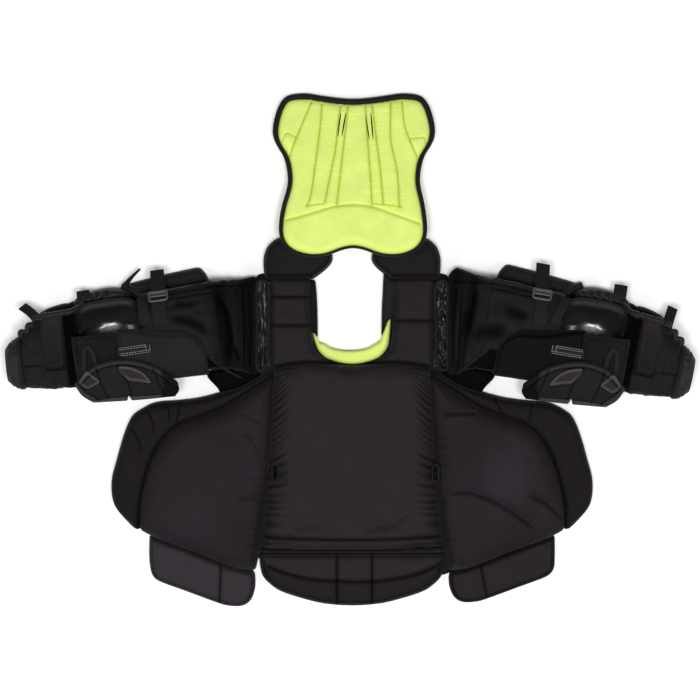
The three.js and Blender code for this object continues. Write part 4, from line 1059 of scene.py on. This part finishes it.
# Creases and seams on the sleeves: a line on the upper side, a depth and a width
SLEEVE_CREASES = dict(
    left=[
        ([(163, 42), (125, 32), (87, 0)], 7, 6), ([(150, 66), (110, 60)], 3, 6),
        ([(72, 82), (64, 50), (58, 30), (58, -10), (64, -58)], 4, 7), ([(46, -60), (52, -20)], 2, 4),
    ],
    right=[
        ([(46, -6), (82, 5), (120, 12)], 8, 12), ([(100, 52), (150, 40)], 3, 9),
        ([(49, 84), (49, 30), (49, -22)], 4, 6), ([(36, 40), (40, -20)], 2, 4),
    ],
)
GUSSET_SEAMS = pressed([[(x - 9, 70), (x - 3, 10), (x + 9, -64)] for x in (22, 33)], 2.2, 2.0)
GUSSET_SEAMS += pressed([[(10, 80), (74, 86)]], 1.8, 1.8)
UPPER_SEAMS = pressed([[(74, y), (170, y - 4)] for y in (86, 78)], 1.8, 1.8)
FORE_SEAMS = pressed([[(10, -16), (60, -15), (103, -12)]], 1.6, 2.0)
# Where a band of painted light runs along the shoulder's cloth, and the bound edge of the underarm
GUSSET_LIGHT = dict(right=28, left=46)
UNDERARM_EDGES = dict(
    right=[(90, -22, 81), (75, -38, 75), (62, -53, 64), (52, -64, 53), (42, -76, 30)],
    left=[(100, -36, 78), (88, -49, 73), (77, -61, 56), (62, -74, 18), (40, -90, 4)],
)

# Panels sewn over the sleeves: x, the y of the head side and the far angle in degrees
PANEL_EDGES = [
    (103, -32, -120), (108, -13, -120), (116, -1, -120), (124, 7, -120), (140, 17, -120), (166, 20, -120),
    (208, 27, -118), (232, 31, -112), (255, 34, -106),
]
ELASTIC_EDGES = [(255.6, 26, -62), (292, 29, -60), (337, 31, -54)]
FLAP_EDGES = [(24, 72, -26), (30, 72, -27), (52, 70, -27), (62, 66, -26)]
FLAP_STITCHING = [(30, 60), (44, 60), (56, 58), (56, 20), (56, -14), (44, -14), (30, -14), (30, 20), (30, 60)]
PANEL_THICK = 7
ELASTIC_THICK = 3.6
FLAP_THICK = 3.2
# Patch on the inner cover: its limits, and its thread in rows (y, start) and columns (x)
PATCH_X = (197, 259)
PATCH_Y = (3, -12)
THREAD_ROWS = ((1.6, 205), (-1.2, 205), (-7.6, 199), (-10.6, 199))
THREAD_ROW_END = 257
THREAD_COLUMNS = (199.5, 206.5)
THREAD_COLUMN_ENDS = (1.6, -10.6)

# Webbing, loops and edges on the arms: spans in y, a tail's y and z, a pull's share of its length and z
WEB_THICK = 1.8
WEB_WIDTHS = dict(arm_strap=25, second_strap=19, elbow_pull=24, wrist_pull=19)
UPPER_SPAN = (29, 90)
ELBOW_SPAN = (35, 82)
STRAP_TAIL = [(103, 60), (118, 53)]
STRAP_TAIL_Z = 47
PULL_FROM = 96
PULL_RISE = ((0, 44.6), (0.4, 43.6), (1, 38.6))
# Ladder lock: half its size, how round its corners are, half a bar, each bar's place and width, tip, place
LOCK_HALF = (16, 9.4)
LOCK_CORNER = 0.28
LOCK_BAR_HALF = 15
LOCK_BARS = ((0, 4.2), (5.2, 2.0))
LOCK_TIP = math.radians(-33)
LOCK_SHIFT = 52
LOCK_YZ = (81, 76.3)
WRIST_PULLS = dict(
    right=[(65, 52, 72.8), (66.8, 62, 67.8), (69, 74, 58.8), (71.5, 88, 49), (73.8, 101, 42)],
    left=[(65, 52, 72.8), (66.5, 62, 67.8), (71, 73, 59.5), (82, 85, 51), (94, 95, 45)],
)
PULL_TILTS = dict(right=(1, -0.2, 0), left=(0.7, -0.5, 0.5))
STRAP_END = [(236, 110, 15), (222, 122, 22), (203, 136, 27)]
WING_LOOP = [(321, -38), (319, -10), (315, 7), (307, 9), (302, -4), (299, -28)]
ELBOW_CLOTHS = [
    [(203, 72), (234, 80), (234, 98), (203, 94)],
    [(322, 62), (346, 62), (346, 90), (312, 96), (312, 80)],
]
FOREARM_EDGE = [
    (-16, 88, 44), (-6, 82, 54), (6, 77, 61), (30, 75, 61), (52, 72, 61), (68, 64, 60), (84, 52, 59),
    (100, 40, 56),
]
BICEP_EDGE = [(238, 110, 14), (226, 104, 18), (213, 93, 22), (204, 84, 24)]

# Elbow cup, and the D-shaped guard beside it
CUP = dict(x=268.6, y=18, half_long=59.8, half_wide=66, height=56, end=23.6, wall=3)
CUP_PROFILE = [(0, 0), (0.4, 0), (0.72, 0.2), (0.84, 3.5), (0.92, 9), (0.98, 17), (1, 24), (1, 40), (1, 56)]
GUARD_EDGES = dict(
    bottom=[(170, -99), (240, -96), (316, -90)],
    right=[(316, -90), (333, -75), (343, -53)],
    top=[(160, -74), (185, -48), (220, -28), (265, -19), (308, -27), (343, -53)],
    left=[(170, -99), (161, -89), (160, -74)],
)
GUARD_POCKETS = [
    [(261, -33), (243, -35), (226, -43), (213, -56), (207, -69), (228, -64), (249, -57)],
    [(334, -53), (326, -41), (317, -33), (305, -44), (297, -55), (309, -61), (321, -64)],
]
GUARD_GROOVES = [
    [(262, -30), (249, -58), (244, -88)], [(299, -30), (296, -56), (287, -86)],
    [(199, -45), (194, -70), (188, -92)],
]
NOTCH_X = 252


def section(rows, x):
    """Limits of a sleeve at places along it, eased between the listed sections."""
    table = np.array(rows, float)
    slopes = np.gradient(table, table[:, 0], axis=0)
    i = np.clip(np.searchsorted(table[:, 0], x) - 1, 0, len(table) - 2)
    gap = (table[i + 1, 0] - table[i, 0])[:, None]
    t = (x - table[i, 0])[:, None] / gap
    return eased(t, table[i], table[i + 1], gap * slopes[i], gap * slopes[i + 1])


def around(rows, x, angle, offset, lean=0.0):
    """Points on a sleeve at grids of x and of the angle from its top, moved out by an offset."""
    s = np.moveaxis(section(rows, x.ravel()).reshape(*x.shape, 6), -1, 0)
    y = (s[1] + s[2]) / 2 + ((s[2] - s[1]) / 2 + offset) * signed_power(np.sin(angle), 2 / SQUARE)
    z = (s[3] + s[4]) / 2 + ((s[4] - s[3]) / 2 + offset) * signed_power(np.cos(angle), 2 / SQUARE)
    return np.stack([x - s[5] * lean * y, y, z], -1)


def angle_of(rows, x, y):
    """Angle from a sleeve's top at places seen from above."""
    s = section(rows, x).T
    share = np.clip((y - (s[1] + s[2]) / 2) / ((s[2] - s[1]) / 2), -1, 1)
    return np.arcsin(signed_power(share, SQUARE / 2))


def steps(start, end, step):
    """Even places from start to end, both included."""
    found = np.arange(start, end + 0.1, step)
    found[-1] = end
    return found


def crumple(side, x, angle, folds):
    """Irregular folds on a sleeve's skin."""
    flat = np.stack([x.ravel(), angle.ravel() * SKIN_RADIUS], 1)
    total = np.zeros(x.size)
    for height, size, seed, stretch in folds:
        total += height * waves(flat, size, ARMS[side].seed + seed, stretch)
    return total.reshape(x.shape)


def sleeve(name, node, side, rows, wall, look, folds=(), fore=False, fill=0.3, creases=(), seams=(),
           tone=None):
    """A hollow sleeve; creases and seams list a line on its upper side, a depth and a width. Creases are
    painted with shade along them, seams with a dark line.
    """
    arm = ARMS[side]
    lean = math.tan(math.radians(arm.droop)) * arm.girth / arm.length
    xs = steps(rows[0][0], rows[-1][0], 2.4)
    x, angle = np.meshgrid(xs, np.linspace(0, math.tau, 132, endpoint=False), indexing="ij")
    flat = around(rows, x, angle, 0.0, lean)[..., :2].reshape(-1, 2)
    above = smooth(np.cos(angle), 0, 0.25).ravel()
    sunk, shade = np.zeros(x.size), np.zeros(x.size)
    for line, depth, width in creases:
        fine = spline(line, 4)
        gap, along = away(flat, fine)
        ends = above * faded_ends(fine, along, 0.3)
        sunk += depth * ends * (0.25 * bell(gap - width * 2, width * 1.3) - bell(gap, width))
        # Painted shade along the crease.
        shade = np.maximum(shade, 0.8 * ends * bell(gap, width))
    for line, depth, width in seams:
        gap, _ = away(flat, spline(line, 4))
        sunk -= depth * above * bell(gap, width)
        shade = np.maximum(shade, above * bell(gap, 1.3))
    if tone:
        shade = np.clip(shade + tone(flat), -1, 1)
    loose = smooth(np.minimum(x - xs[0], xs[-1] - x), 0, 5)
    offset = folds(x, angle) if callable(folds) else crumple(side, x, angle, folds)
    offset = (offset + sunk.reshape(x.shape)) * loose
    outer = around(rows, x, angle, offset - 0.6 * (1 - loose), lean)
    points, faces = shell(outer, around(rows, x, angle, offset - wall, lean), closed=True)
    shade = np.concatenate([shade, np.full(len(shade), 0.3)])
    make_on_arm(name, side, points, faces, look, fore, node=node, fill=fill, shade=shade)


def wrapped(name, node, side, rows, edges, gap, thick, look, fore=False, step=2.0, detail=None, tone=0.0,
            fade=0.0):
    """A panel sewn over a sleeve; returns how to lay places seen from above on it."""
    table = np.array(edges, float)
    xs = steps(table[0, 0], table[-1, 0], step)
    near = angle_of(rows, xs, np.interp(xs, table[:, 0], table[:, 1]))[:, None]
    far = np.radians(np.interp(xs, table[:, 0], table[:, 2]))[:, None]
    v = np.linspace(0, 1, 90)
    angle = far + (near - far) * v
    x = np.repeat(xs[:, None], len(v), 1)
    span = np.abs(near - far) * PANEL_RADIUS
    edge = np.minimum(np.minimum(x - xs[0], xs[-1] - x), np.minimum(v * span, (1 - v) * span))
    up = thick * np.sqrt(np.clip(1 - (1 - np.clip(edge / (thick * 0.9), 0, 1)) ** 2, 0, 1)) + 0.3
    shade = 0.5 * bell(edge - 5, 1.0) + tone * (1 - v * fade)
    if detail:
        up = up + detail(x, angle, edge)
    points, faces = shell(around(rows, x, angle, gap + up), around(rows, x, angle, gap))
    shade = np.tile(shade.ravel(), 2)
    make_on_arm(name, side, points, faces, look, fore, node=node, fill=0.4, shade=shade)
    return lambda px, py, lift: around(rows, px, angle_of(rows, px, py), gap + thick + lift)


def band(name, node, side, path, fore=False, tilt=(1, 0, 0)):
    """Webbing along a path on an arm, its width along a fixed direction."""
    line = spline(path, 2.0)
    across = np.array(tilt, float) / np.linalg.norm(tilt)
    up = np.cross(np.broadcast_to(across, line.shape), unit(np.gradient(line, axis=0)))
    up = unit(up * np.where(up[:, 2:3] < 0, -1, 1))
    flat = oval(WEB_WIDTHS[name], WEB_THICK, 16, 6)
    rows = line[:, None] + flat[None, :, :1] * across + (flat[None, :, 1:] + WEB_THICK / 2) * up[:, None]
    uv = np.stack([np.repeat(running(line), len(flat)), np.tile(flat[:, 0], len(line))], 1)
    make_on_arm(name, side, rows.reshape(-1, 3), tube_faces(*rows.shape[:2]), WEB, fore, node=node, uv=uv)


def bead(name, side, path, shape, look, fore=False, wide=None, slotted=False):
    """A tape, roll or cord along a path on an arm."""
    points, faces = swept(path, shape, wide=wide)
    uv = points[:, :2] if look is WEB else None
    make_on_arm(name, side, points, faces, look, fore, uv=uv, slotted=slotted)


def strap_path(x, lean, y_from, y_to, tail=()):
    """A strap's path over the upper sleeve, with a tail that lists its own y and z."""
    ys = np.linspace(y_from, y_to, 14)
    at = np.full(len(ys), float(x))
    path = around(UPPER_ROWS, at, angle_of(UPPER_ROWS, at, ys), 1.6)
    if tail:
        path = np.vstack([path, [(x, y, z) for y, z in tail]])
    path[:, 0] = x + (path[:, 1] - y_from) * lean
    return path


def arm_sleeves(side):
    """Shoulder, upper arm, forearm and cuff."""
    rows = [(row[0], row[1], top, *row[3:]) for row, top in zip(SHOULDER_ROWS, SHOULDER_TOPS[side])]
    creases = SLEEVE_CREASES[side]

    def gusset_folds(x, angle):
        first = crumple(side, x, angle, GUSSET_FOLDS[:1]) * smooth(x, 30, 44)
        return first + crumple(side, x, angle, GUSSET_FOLDS[1:])

    def cuff_folds(x, angle):
        return 0.9 * np.cos(x * math.tau / 6.5) + crumple(side, x, angle, CUFF_FOLDS)

    def underside(points):
        """Painted shade below the bound edge of the underarm."""
        line = np.array(UNDERARM_EDGES[side][::-1], float)
        fold = np.interp(points[:, 0], line[:, 0], line[:, 1])
        return 0.9 * smooth(fold - points[:, 1], 0, 4) * smooth(110 - points[:, 0], 0, 6)

    def gusset_tone(points):
        # Darker all over, a painted highlight along a fold, painted light beyond it on the right, and painted
        # shade below the underarm edge.
        x = points[:, 0]
        lit = 0.54 * bell(x - GUSSET_LIGHT[side], 9) + 0.79 * smooth(x, 46, 54) * (side == "right")
        return 0.72 - lit + underside(points)

    def upper_tone(points):
        # Painted shade towards the shoulder on the left, a little painted light there on the right, and
        # painted shade below the underarm edge.
        return TUNNEL_TONE[side] * smooth(-points[:, 0], -98, -74) + underside(points)

    def fore_tone(points):
        # Painted shade over the forearm's end at the elbow, in the hollow beside the wrist flap.
        return smooth(-points[:, 0], -27, -19)

    sleeve("gusset", "shoulder_sleeve", side, rows, SLEEVE_WALL, ARM, gusset_folds, creases=creases,
           seams=GUSSET_SEAMS, tone=gusset_tone)
    sleeve("arm_tunnel", "upper_sleeve", side, UPPER_ROWS, SLEEVE_WALL, ARM, UPPER_FOLDS,
           creases=creases, seams=UPPER_SEAMS, tone=upper_tone)
    sleeve("forearm_tunnel", "forearm_sleeve", side, FOREARM_ROWS, SLEEVE_WALL, FORE_CLOTH, FORE_FOLDS,
           fore=True, seams=FORE_SEAMS, tone=fore_tone)
    sleeve("cuff", "wrist_cuff", side, CUFF_ROWS, CUFF_WALL, CUFF, cuff_folds, True)
    sleeve("cuff_binding", None, side, CUFF_HEM_ROWS, CUFF_HEM_WALL, TAPE, fore=True, fill=None)


def arm_pads(side):
    """Outer pads that lie on the floor, the underarm and the roll at the elbow."""
    sign, seed = ARMS[side].sign, ARMS[side].seed

    def crumpled(points, near, place):
        # Folds across the roll, with painted shade in their valleys.
        fold = smooth(near, 0, 6) * pleats(points[:, 0] * sign + 0.7 * points[:, 1], 19, seed + 11)
        return 4.5 * fold, np.clip(-fold, 0, 0.6)

    def reaching(loop):
        """Runs the underarm on to the wing's rim and, at its top corner, under the sleeve's panel."""
        into = inward(loop)
        down = 9 * np.clip(into[:, 1], 0, 1)
        out = 8 * np.clip(-sign * into[:, 0], 0, 1) * smooth(loop[:, 1], -66, -44)
        return loop + np.stack([sign * out, -down], 1)

    # The bicep pad is painted a little lighter (painted light), the underarm dark all over (painted shade),
    # as it lies low between raised pads.
    padded("bicep_cushion", "bicep_pad", ARM, BICEP, 0.6, side, tone=-0.12, seed=seed + 8)
    padded("forearm_cushion", "forearm_pad", ARM, FORE, 0.6, side, seed=seed + 9)
    padded("underarm_gusset", "underarm_panel", UNDERARM_CLOTH, UNDERARM, 0.3, side, tone=0.85, warp=reaching,
           seed=seed + 10)
    padded("elbow_bolster", "elbow_roll", ROLLED, ROLL, 0.7, side, step=2.0, relief=crumpled, seed=seed + 12)


def arm_panels(side):
    """Inner cover with its sewn patch, elastic at the elbow and the flap at the wrist."""
    def ribs(x, angle, edge):
        slack = smooth(x, 290, 306)
        folds = crumple(side, x, angle, BAND_FOLDS)
        return ((1 - slack) * 0.8 * np.cos(x * math.tau / 4.6) + slack * folds) * smooth(edge, 0, 3)

    on_panel = wrapped("inner_cover", "inner_panel", side, WHOLE_ROWS, PANEL_EDGES, 1.0, PANEL_THICK, PANEL,
                       tone=PANEL_TONE[side])
    wrapped("elbow_band", "elbow_elastic", side, WHOLE_ROWS, ELASTIC_EDGES, 0.8, ELASTIC_THICK, ELASTIC,
            step=0.7, detail=ribs)
    on_flap = wrapped("wrist_flap", "forearm_flap", side, FOREARM_ROWS, FLAP_EDGES, 0.9, FLAP_THICK,
                      FLAP_CLOTH, fore=True, tone=0.64, fade=1.75)
    corners = np.array(FLAP_STITCHING, float)
    run = np.vstack([np.linspace(a, b, 14, endpoint=False) for a, b in zip(corners, corners[1:])])
    points, faces = joined(stitches(on_flap(*run.T, 0.3), 2.6, 1.4, 0.7, 0.3))
    make_on_arm("flap_stitching", side, points, faces, DIM_THREAD, True)

    xs, ys = np.linspace(*PATCH_X, 40), np.linspace(*PATCH_Y, 12)
    top, base = (np.stack([on_panel(xs, np.full(40, y), lift) for y in ys], 1) for lift in (1.3, 0.2))
    points, faces = shell(top, base)
    uv = np.stack(np.meshgrid(xs - xs[0], ys[0] - ys, indexing="ij"), 2).reshape(-1, 2)
    make_on_arm("sewn_patch", side, points, faces, WEB, uv=np.tile(uv, (2, 1)))
    threads = []
    for y, start in THREAD_ROWS:
        row = np.linspace(start, THREAD_ROW_END, 40)
        threads += stitches(on_panel(row, np.full(40, y), 1.4), 3.4, 1.5, 0.8, 0.3)
    for x in THREAD_COLUMNS:
        column = np.linspace(*THREAD_COLUMN_ENDS, 12)
        threads += stitches(on_panel(np.full(12, x), column, 1.4), 2.6, 1.2, 0.8, 0.3)
    points, faces = joined(threads)
    make_on_arm("patch_thread", side, points, faces, THREAD)


def arm_webbing(side):
    """Two straps, two pulls and the loop on the elbow guard."""
    lie = STRAPS[side]
    tail = STRAP_TAIL + [(lie.end, STRAP_TAIL_Z)]
    band("arm_strap", "upper_strap", side, strap_path(lie.upper, lie.slant, *UPPER_SPAN, tail))
    band("second_strap", "elbow_strap", side, strap_path(lie.elbow, lie.elbow_slant, *ELBOW_SPAN))
    tab = [(lie.tab, PULL_FROM + (lie.tab_end - PULL_FROM) * share, z) for share, z in PULL_RISE]
    band("elbow_pull", "elbow_tab", side, tab)
    band("wrist_pull", "forearm_tab", side, WRIST_PULLS[side], True, PULL_TILTS[side])
    flat = spline(WING_LOOP, 1.6)
    rise = 6.5 + 5 * np.sin(np.linspace(0, math.pi, len(flat)))
    path = around(WHOLE_ROWS, flat[:, 0], angle_of(WHOLE_ROWS, *flat.T), rise)
    bead("guard_loop", side, path, oval(8.5, 2.2, 12, 4), WEB, slotted=True)


def arm_edges(side):
    """Cloth at the elbow, crumpled edges and bindings."""
    seed = ARMS[side].seed
    points, faces = joined([low_cloth(spline(corners, 3, closed=True), 59)[:2] for corners in ELBOW_CLOTHS])
    make_on_arm("elbow_cloth", side, points, faces, ARM)
    step = 1.6
    line = spline(FOREARM_EDGE, step)
    run = np.arange(len(line)) * step
    lobes = smooth(line[:, 0], 46, 60) * np.sin(run * math.pi / 17) ** 2
    line += lobes[:, None] * [3.5, 5.5, 2.0]
    bead("forearm_edging", side, line, oval(1, 12, 12, 2), ROLLED, True,
         wide=11 + 7.0 * pleats(run, 10, seed + 13))
    line = spline(BICEP_EDGE, step)
    lumps = 15 + 4.0 * pleats(np.arange(len(line)) * step, 11, seed + 14)
    bead("bicep_edging", side, line, oval(1, 18, 14, 2), ROLLED, wide=lumps)
    bead("underarm_binding", side, spline(UNDERARM_EDGES[side], 2.5), oval(4.5, 3.2, 10), TAPE)
    if side == "left":
        line = spline(STRAP_END, 2)
        bead("strap_end", side, line, oval(4.2, 13, 12, 4), WEB, wide=np.linspace(2.2, 0.8, len(line)))


def buckle(side):
    """Ladder-lock buckle: a rounded frame with two bars across it."""
    lie = STRAPS[side]
    angle = np.linspace(0, math.tau, 56, endpoint=False)
    x = LOCK_HALF[0] * signed_power(np.cos(angle), LOCK_CORNER)
    y = LOCK_HALF[1] * signed_power(np.sin(angle), LOCK_CORNER)
    parts = [swept(np.stack([x, y, 0.5 * np.cos(2 * angle)], 1), oval(4.2, 3.6, 10, 3), closed=True)]
    for y, tall in LOCK_BARS:
        arch = 0.6 + 0.5 * np.cos(np.linspace(-1.5, 1.5, 16))
        bar = np.stack([np.linspace(-LOCK_BAR_HALF, LOCK_BAR_HALF, 16), np.full(16, y), arch], 1)
        parts.append(swept(bar, oval(tall, 3.0, 10, 3)))
    points, faces = joined(parts)
    tipped = turned(points + [0, 0, 1.9], LOCK_TIP, 1, 2)
    points = tipped + [lie.upper + LOCK_SHIFT * lie.slant, *LOCK_YZ]
    make_on_arm("ladder_lock", side, points, faces, BUCKLE, node="strap_buckle")


def elbow_cup(side):
    """Glossy bowl for the elbow, open upwards, with a bound edge on its head side."""
    floor = CUP["wall"]

    def rim_height(angle):
        return CUP["end"] + (CUP["height"] - CUP["end"]) * smooth(np.abs(np.sin(angle)), 0.3, 0.85)

    def spot(reach, angle, z):
        square = reach / (np.cos(angle) ** 4 + np.sin(angle) ** 4) ** 0.25
        x = CUP["x"] + square * np.cos(angle) * CUP["half_long"]
        return np.stack([x, CUP["y"] + square * np.sin(angle) * CUP["half_wide"], z], -1)

    profile = np.array(CUP_PROFILE, float)
    run = running(profile * [60, 1])
    share, z = (v[:, None] for v in at_marks(profile, run, np.linspace(0, run[-1], 60)).T)
    angle = np.linspace(0, math.tau, 120, endpoint=False)
    top = rim_height(angle)
    stretch = (top - floor) / (CUP["height"] - floor)
    outer = spot(share, angle, np.minimum(z, floor) + np.maximum(z - floor, 0) * stretch)
    bowl = np.linspace(0, 1, 60)[:, None]
    inner = spot(bowl * (1 - CUP["wall"] / CUP["half_long"]), angle, floor + (top - floor) * bowl**2.6)
    inner[..., 1] += 24 * (1 - bowl)
    skin = np.concatenate([outer[1:], inner[:0:-1]])
    make_on_arm("elbow_cup", side, skin.reshape(-1, 3), tube_faces(*skin.shape[:2]), GLOSS, node="elbow_cap")
    sweep = np.linspace(math.radians(12), math.radians(168), 70)
    bead("elbow_binding", side, spot(0.98, sweep, rim_height(sweep) + 0.5), oval(14.0, 7.0, 14), ROLLED)


def between_edges(edges, u, v):
    """Places in a smooth field between four edges."""
    lines = {key: spline(line, 1.0) for key, line in edges.items()}

    def at(key, share):
        return at_marks(lines[key], np.linspace(0, 1, len(lines[key])), share)

    low, high, start, end = at("bottom", u), at("top", u), at("left", v), at("right", v)
    u, v = u[..., None], v[..., None]
    b, t = lines["bottom"], lines["top"]
    corners = (b[0] * (1 - u) + b[-1] * u) * (1 - v) + (t[0] * (1 - u) + t[-1] * u) * v
    return low * (1 - v) + high * v + start * (1 - u) + end * u - corners


def elbow_guard(side):
    """D-shaped moulded pad: a raised rim, grooves, two sunk pockets, a lower end, a notch in its hem."""
    u, v = np.meshgrid(np.linspace(0, 1, 170), np.linspace(0, 1, 84), indexing="ij")
    place = between_edges(GUARD_EDGES, u, v)
    flat = place.reshape(-1, 2)
    x, y = place[..., 0], place[..., 1]

    def far_from(line, closed=False):
        return away(flat, spline(line, 2, closed), closed)[0].reshape(x.shape)

    top = section(WHOLE_ROWS, np.minimum(x, 328).ravel())[:, 4].reshape(x.shape)
    drop = np.maximum(0, (-19 - y) / 81)
    base = top + 6.9 - 10 * drop - 33 * drop**2
    edge = np.minimum(np.minimum(v, 1 - v) * 62, np.minimum(u, 1 - u) * 170)
    arc = far_from(GUARD_EDGES["top"] + GUARD_EDGES["right"][1::-1])
    high = 3.5 + 4.5 * np.sqrt(1 - (1 - np.clip(edge / 5, 0, 1)) ** 2) + 2.2 * bell(arc - 6, 3.5)
    # Painted highlight along the raised rim, and a dark line inside it.
    shade = 0.8 * bell(arc - 11, 1.2) - 0.3 * bell(arc - 6, 3)
    for line in GUARD_POCKETS:
        within = inside(flat, spline(line, 2, True)).reshape(x.shape)
        deep = far_from(line, True) * np.where(within, 1, -1)
        high -= 6.0 * smooth(deep, -1, 6)
        # The pockets' sloping sides are painted pale: painted light; their middles a little paler.
        shade -= smooth(deep, -0.5, 1.0) * smooth(-deep, -6, -3.5) + 0.18 * smooth(deep, 3.5, 5.5)
        shade += 0.7 * bell(deep + 1.2, 1.0)
    for line in GUARD_GROOVES:
        gap = far_from(line)
        high -= 1.6 * bell(gap, 1.8)
        shade += 0.8 * bell(gap, 1.2)
    tongue = smooth(-u, -0.19, -0.14)
    high -= 2.0 * tongue
    shade += 0.7 * tongue - 0.55 * smooth(-v, -0.12, -0.09) * (1 - tongue) + 0.8 * bell(v - 0.125, 0.012)
    y = y + 9 * bell(x - NOTCH_X, 2.6) * smooth(-v, -0.14, -0.02)
    points, faces = shell(np.stack([x, y, base + high], 2), np.stack([x, y, base], 2))
    shade = np.tile(np.clip(shade, -1, 1).ravel(), 2)
    make_on_arm("elbow_guard", side, points, faces, FOAM, node="elbow_wing", fill=0.8, shade=shade)


back_panel()
chest_pieces()
for which in ("right", "left"):
    for build in (shoulder_pieces, wing_pieces, mouth_pieces, arm_sleeves, arm_pads, arm_panels, arm_webbing,
                  arm_edges, buckle, elbow_cup, elbow_guard):
        build(which)


# Floor, light and camera, in metres; each lamp's place, size and power in watts

FLOOR_HALF = 6
FLOOR_Z = -0.0004
LAMPS = [
    ((-0.75, -0.75, 4.95), 1.0, 100), ((0.75, -0.75, 4.95), 1.0, 100), ((-2.7, -0.6, 1.9), 1.2, 26),
    ((2.7, -0.6, 1.9), 1.2, 26), ((0, -3.4, 2.6), 1.8, 26),
]
EYE = (-0.00045, -0.00045, 4.7)


def placed(name, data, at=(0, 0, 0)):
    obj = bpy.data.objects.new(name, data)
    obj.location = at
    bpy.context.scene.collection.objects.link(obj)
    return obj


def studio():
    scene = bpy.context.scene
    paper = Shading("floor_paper", None).finished({
        "Base Color": (0.93, 0.93, 0.93, 1), "Roughness": 0.9, "Specular IOR Level": 0.1,
    })
    mesh = bpy.data.meshes.new("floor")
    corners = [(x * FLOOR_HALF, y * FLOOR_HALF, FLOOR_Z) for x, y in ((-1, -1), (1, -1), (1, 1), (-1, 1))]
    mesh.from_pydata(corners, [], [(0, 1, 2, 3)])
    mesh.materials.append(paper.material)
    placed("floor", mesh)

    scene.world = bpy.data.worlds.new("studio")
    scene.world.use_nodes = True
    sky = scene.world.node_tree.nodes["Background"]
    sky.inputs["Color"].default_value = (1, 1, 1, 1)
    sky.inputs["Strength"].default_value = 0.2
    for at, size, power in LAMPS:
        lamp = bpy.data.lights.new("softbox", "AREA")
        lamp.size = size
        lamp.energy = power
        placed("softbox", lamp, at).rotation_euler = (-Vector(at)).to_track_quat("-Z", "Y").to_euler()

    camera = bpy.data.cameras.new("camera")
    camera.lens = 133.7
    camera.sensor_width = 36
    camera.clip_end = 50
    scene.camera = placed("camera", camera, EYE)
    scene.view_settings.view_transform = "Standard"


studio()
bpy.context.view_layer.update()
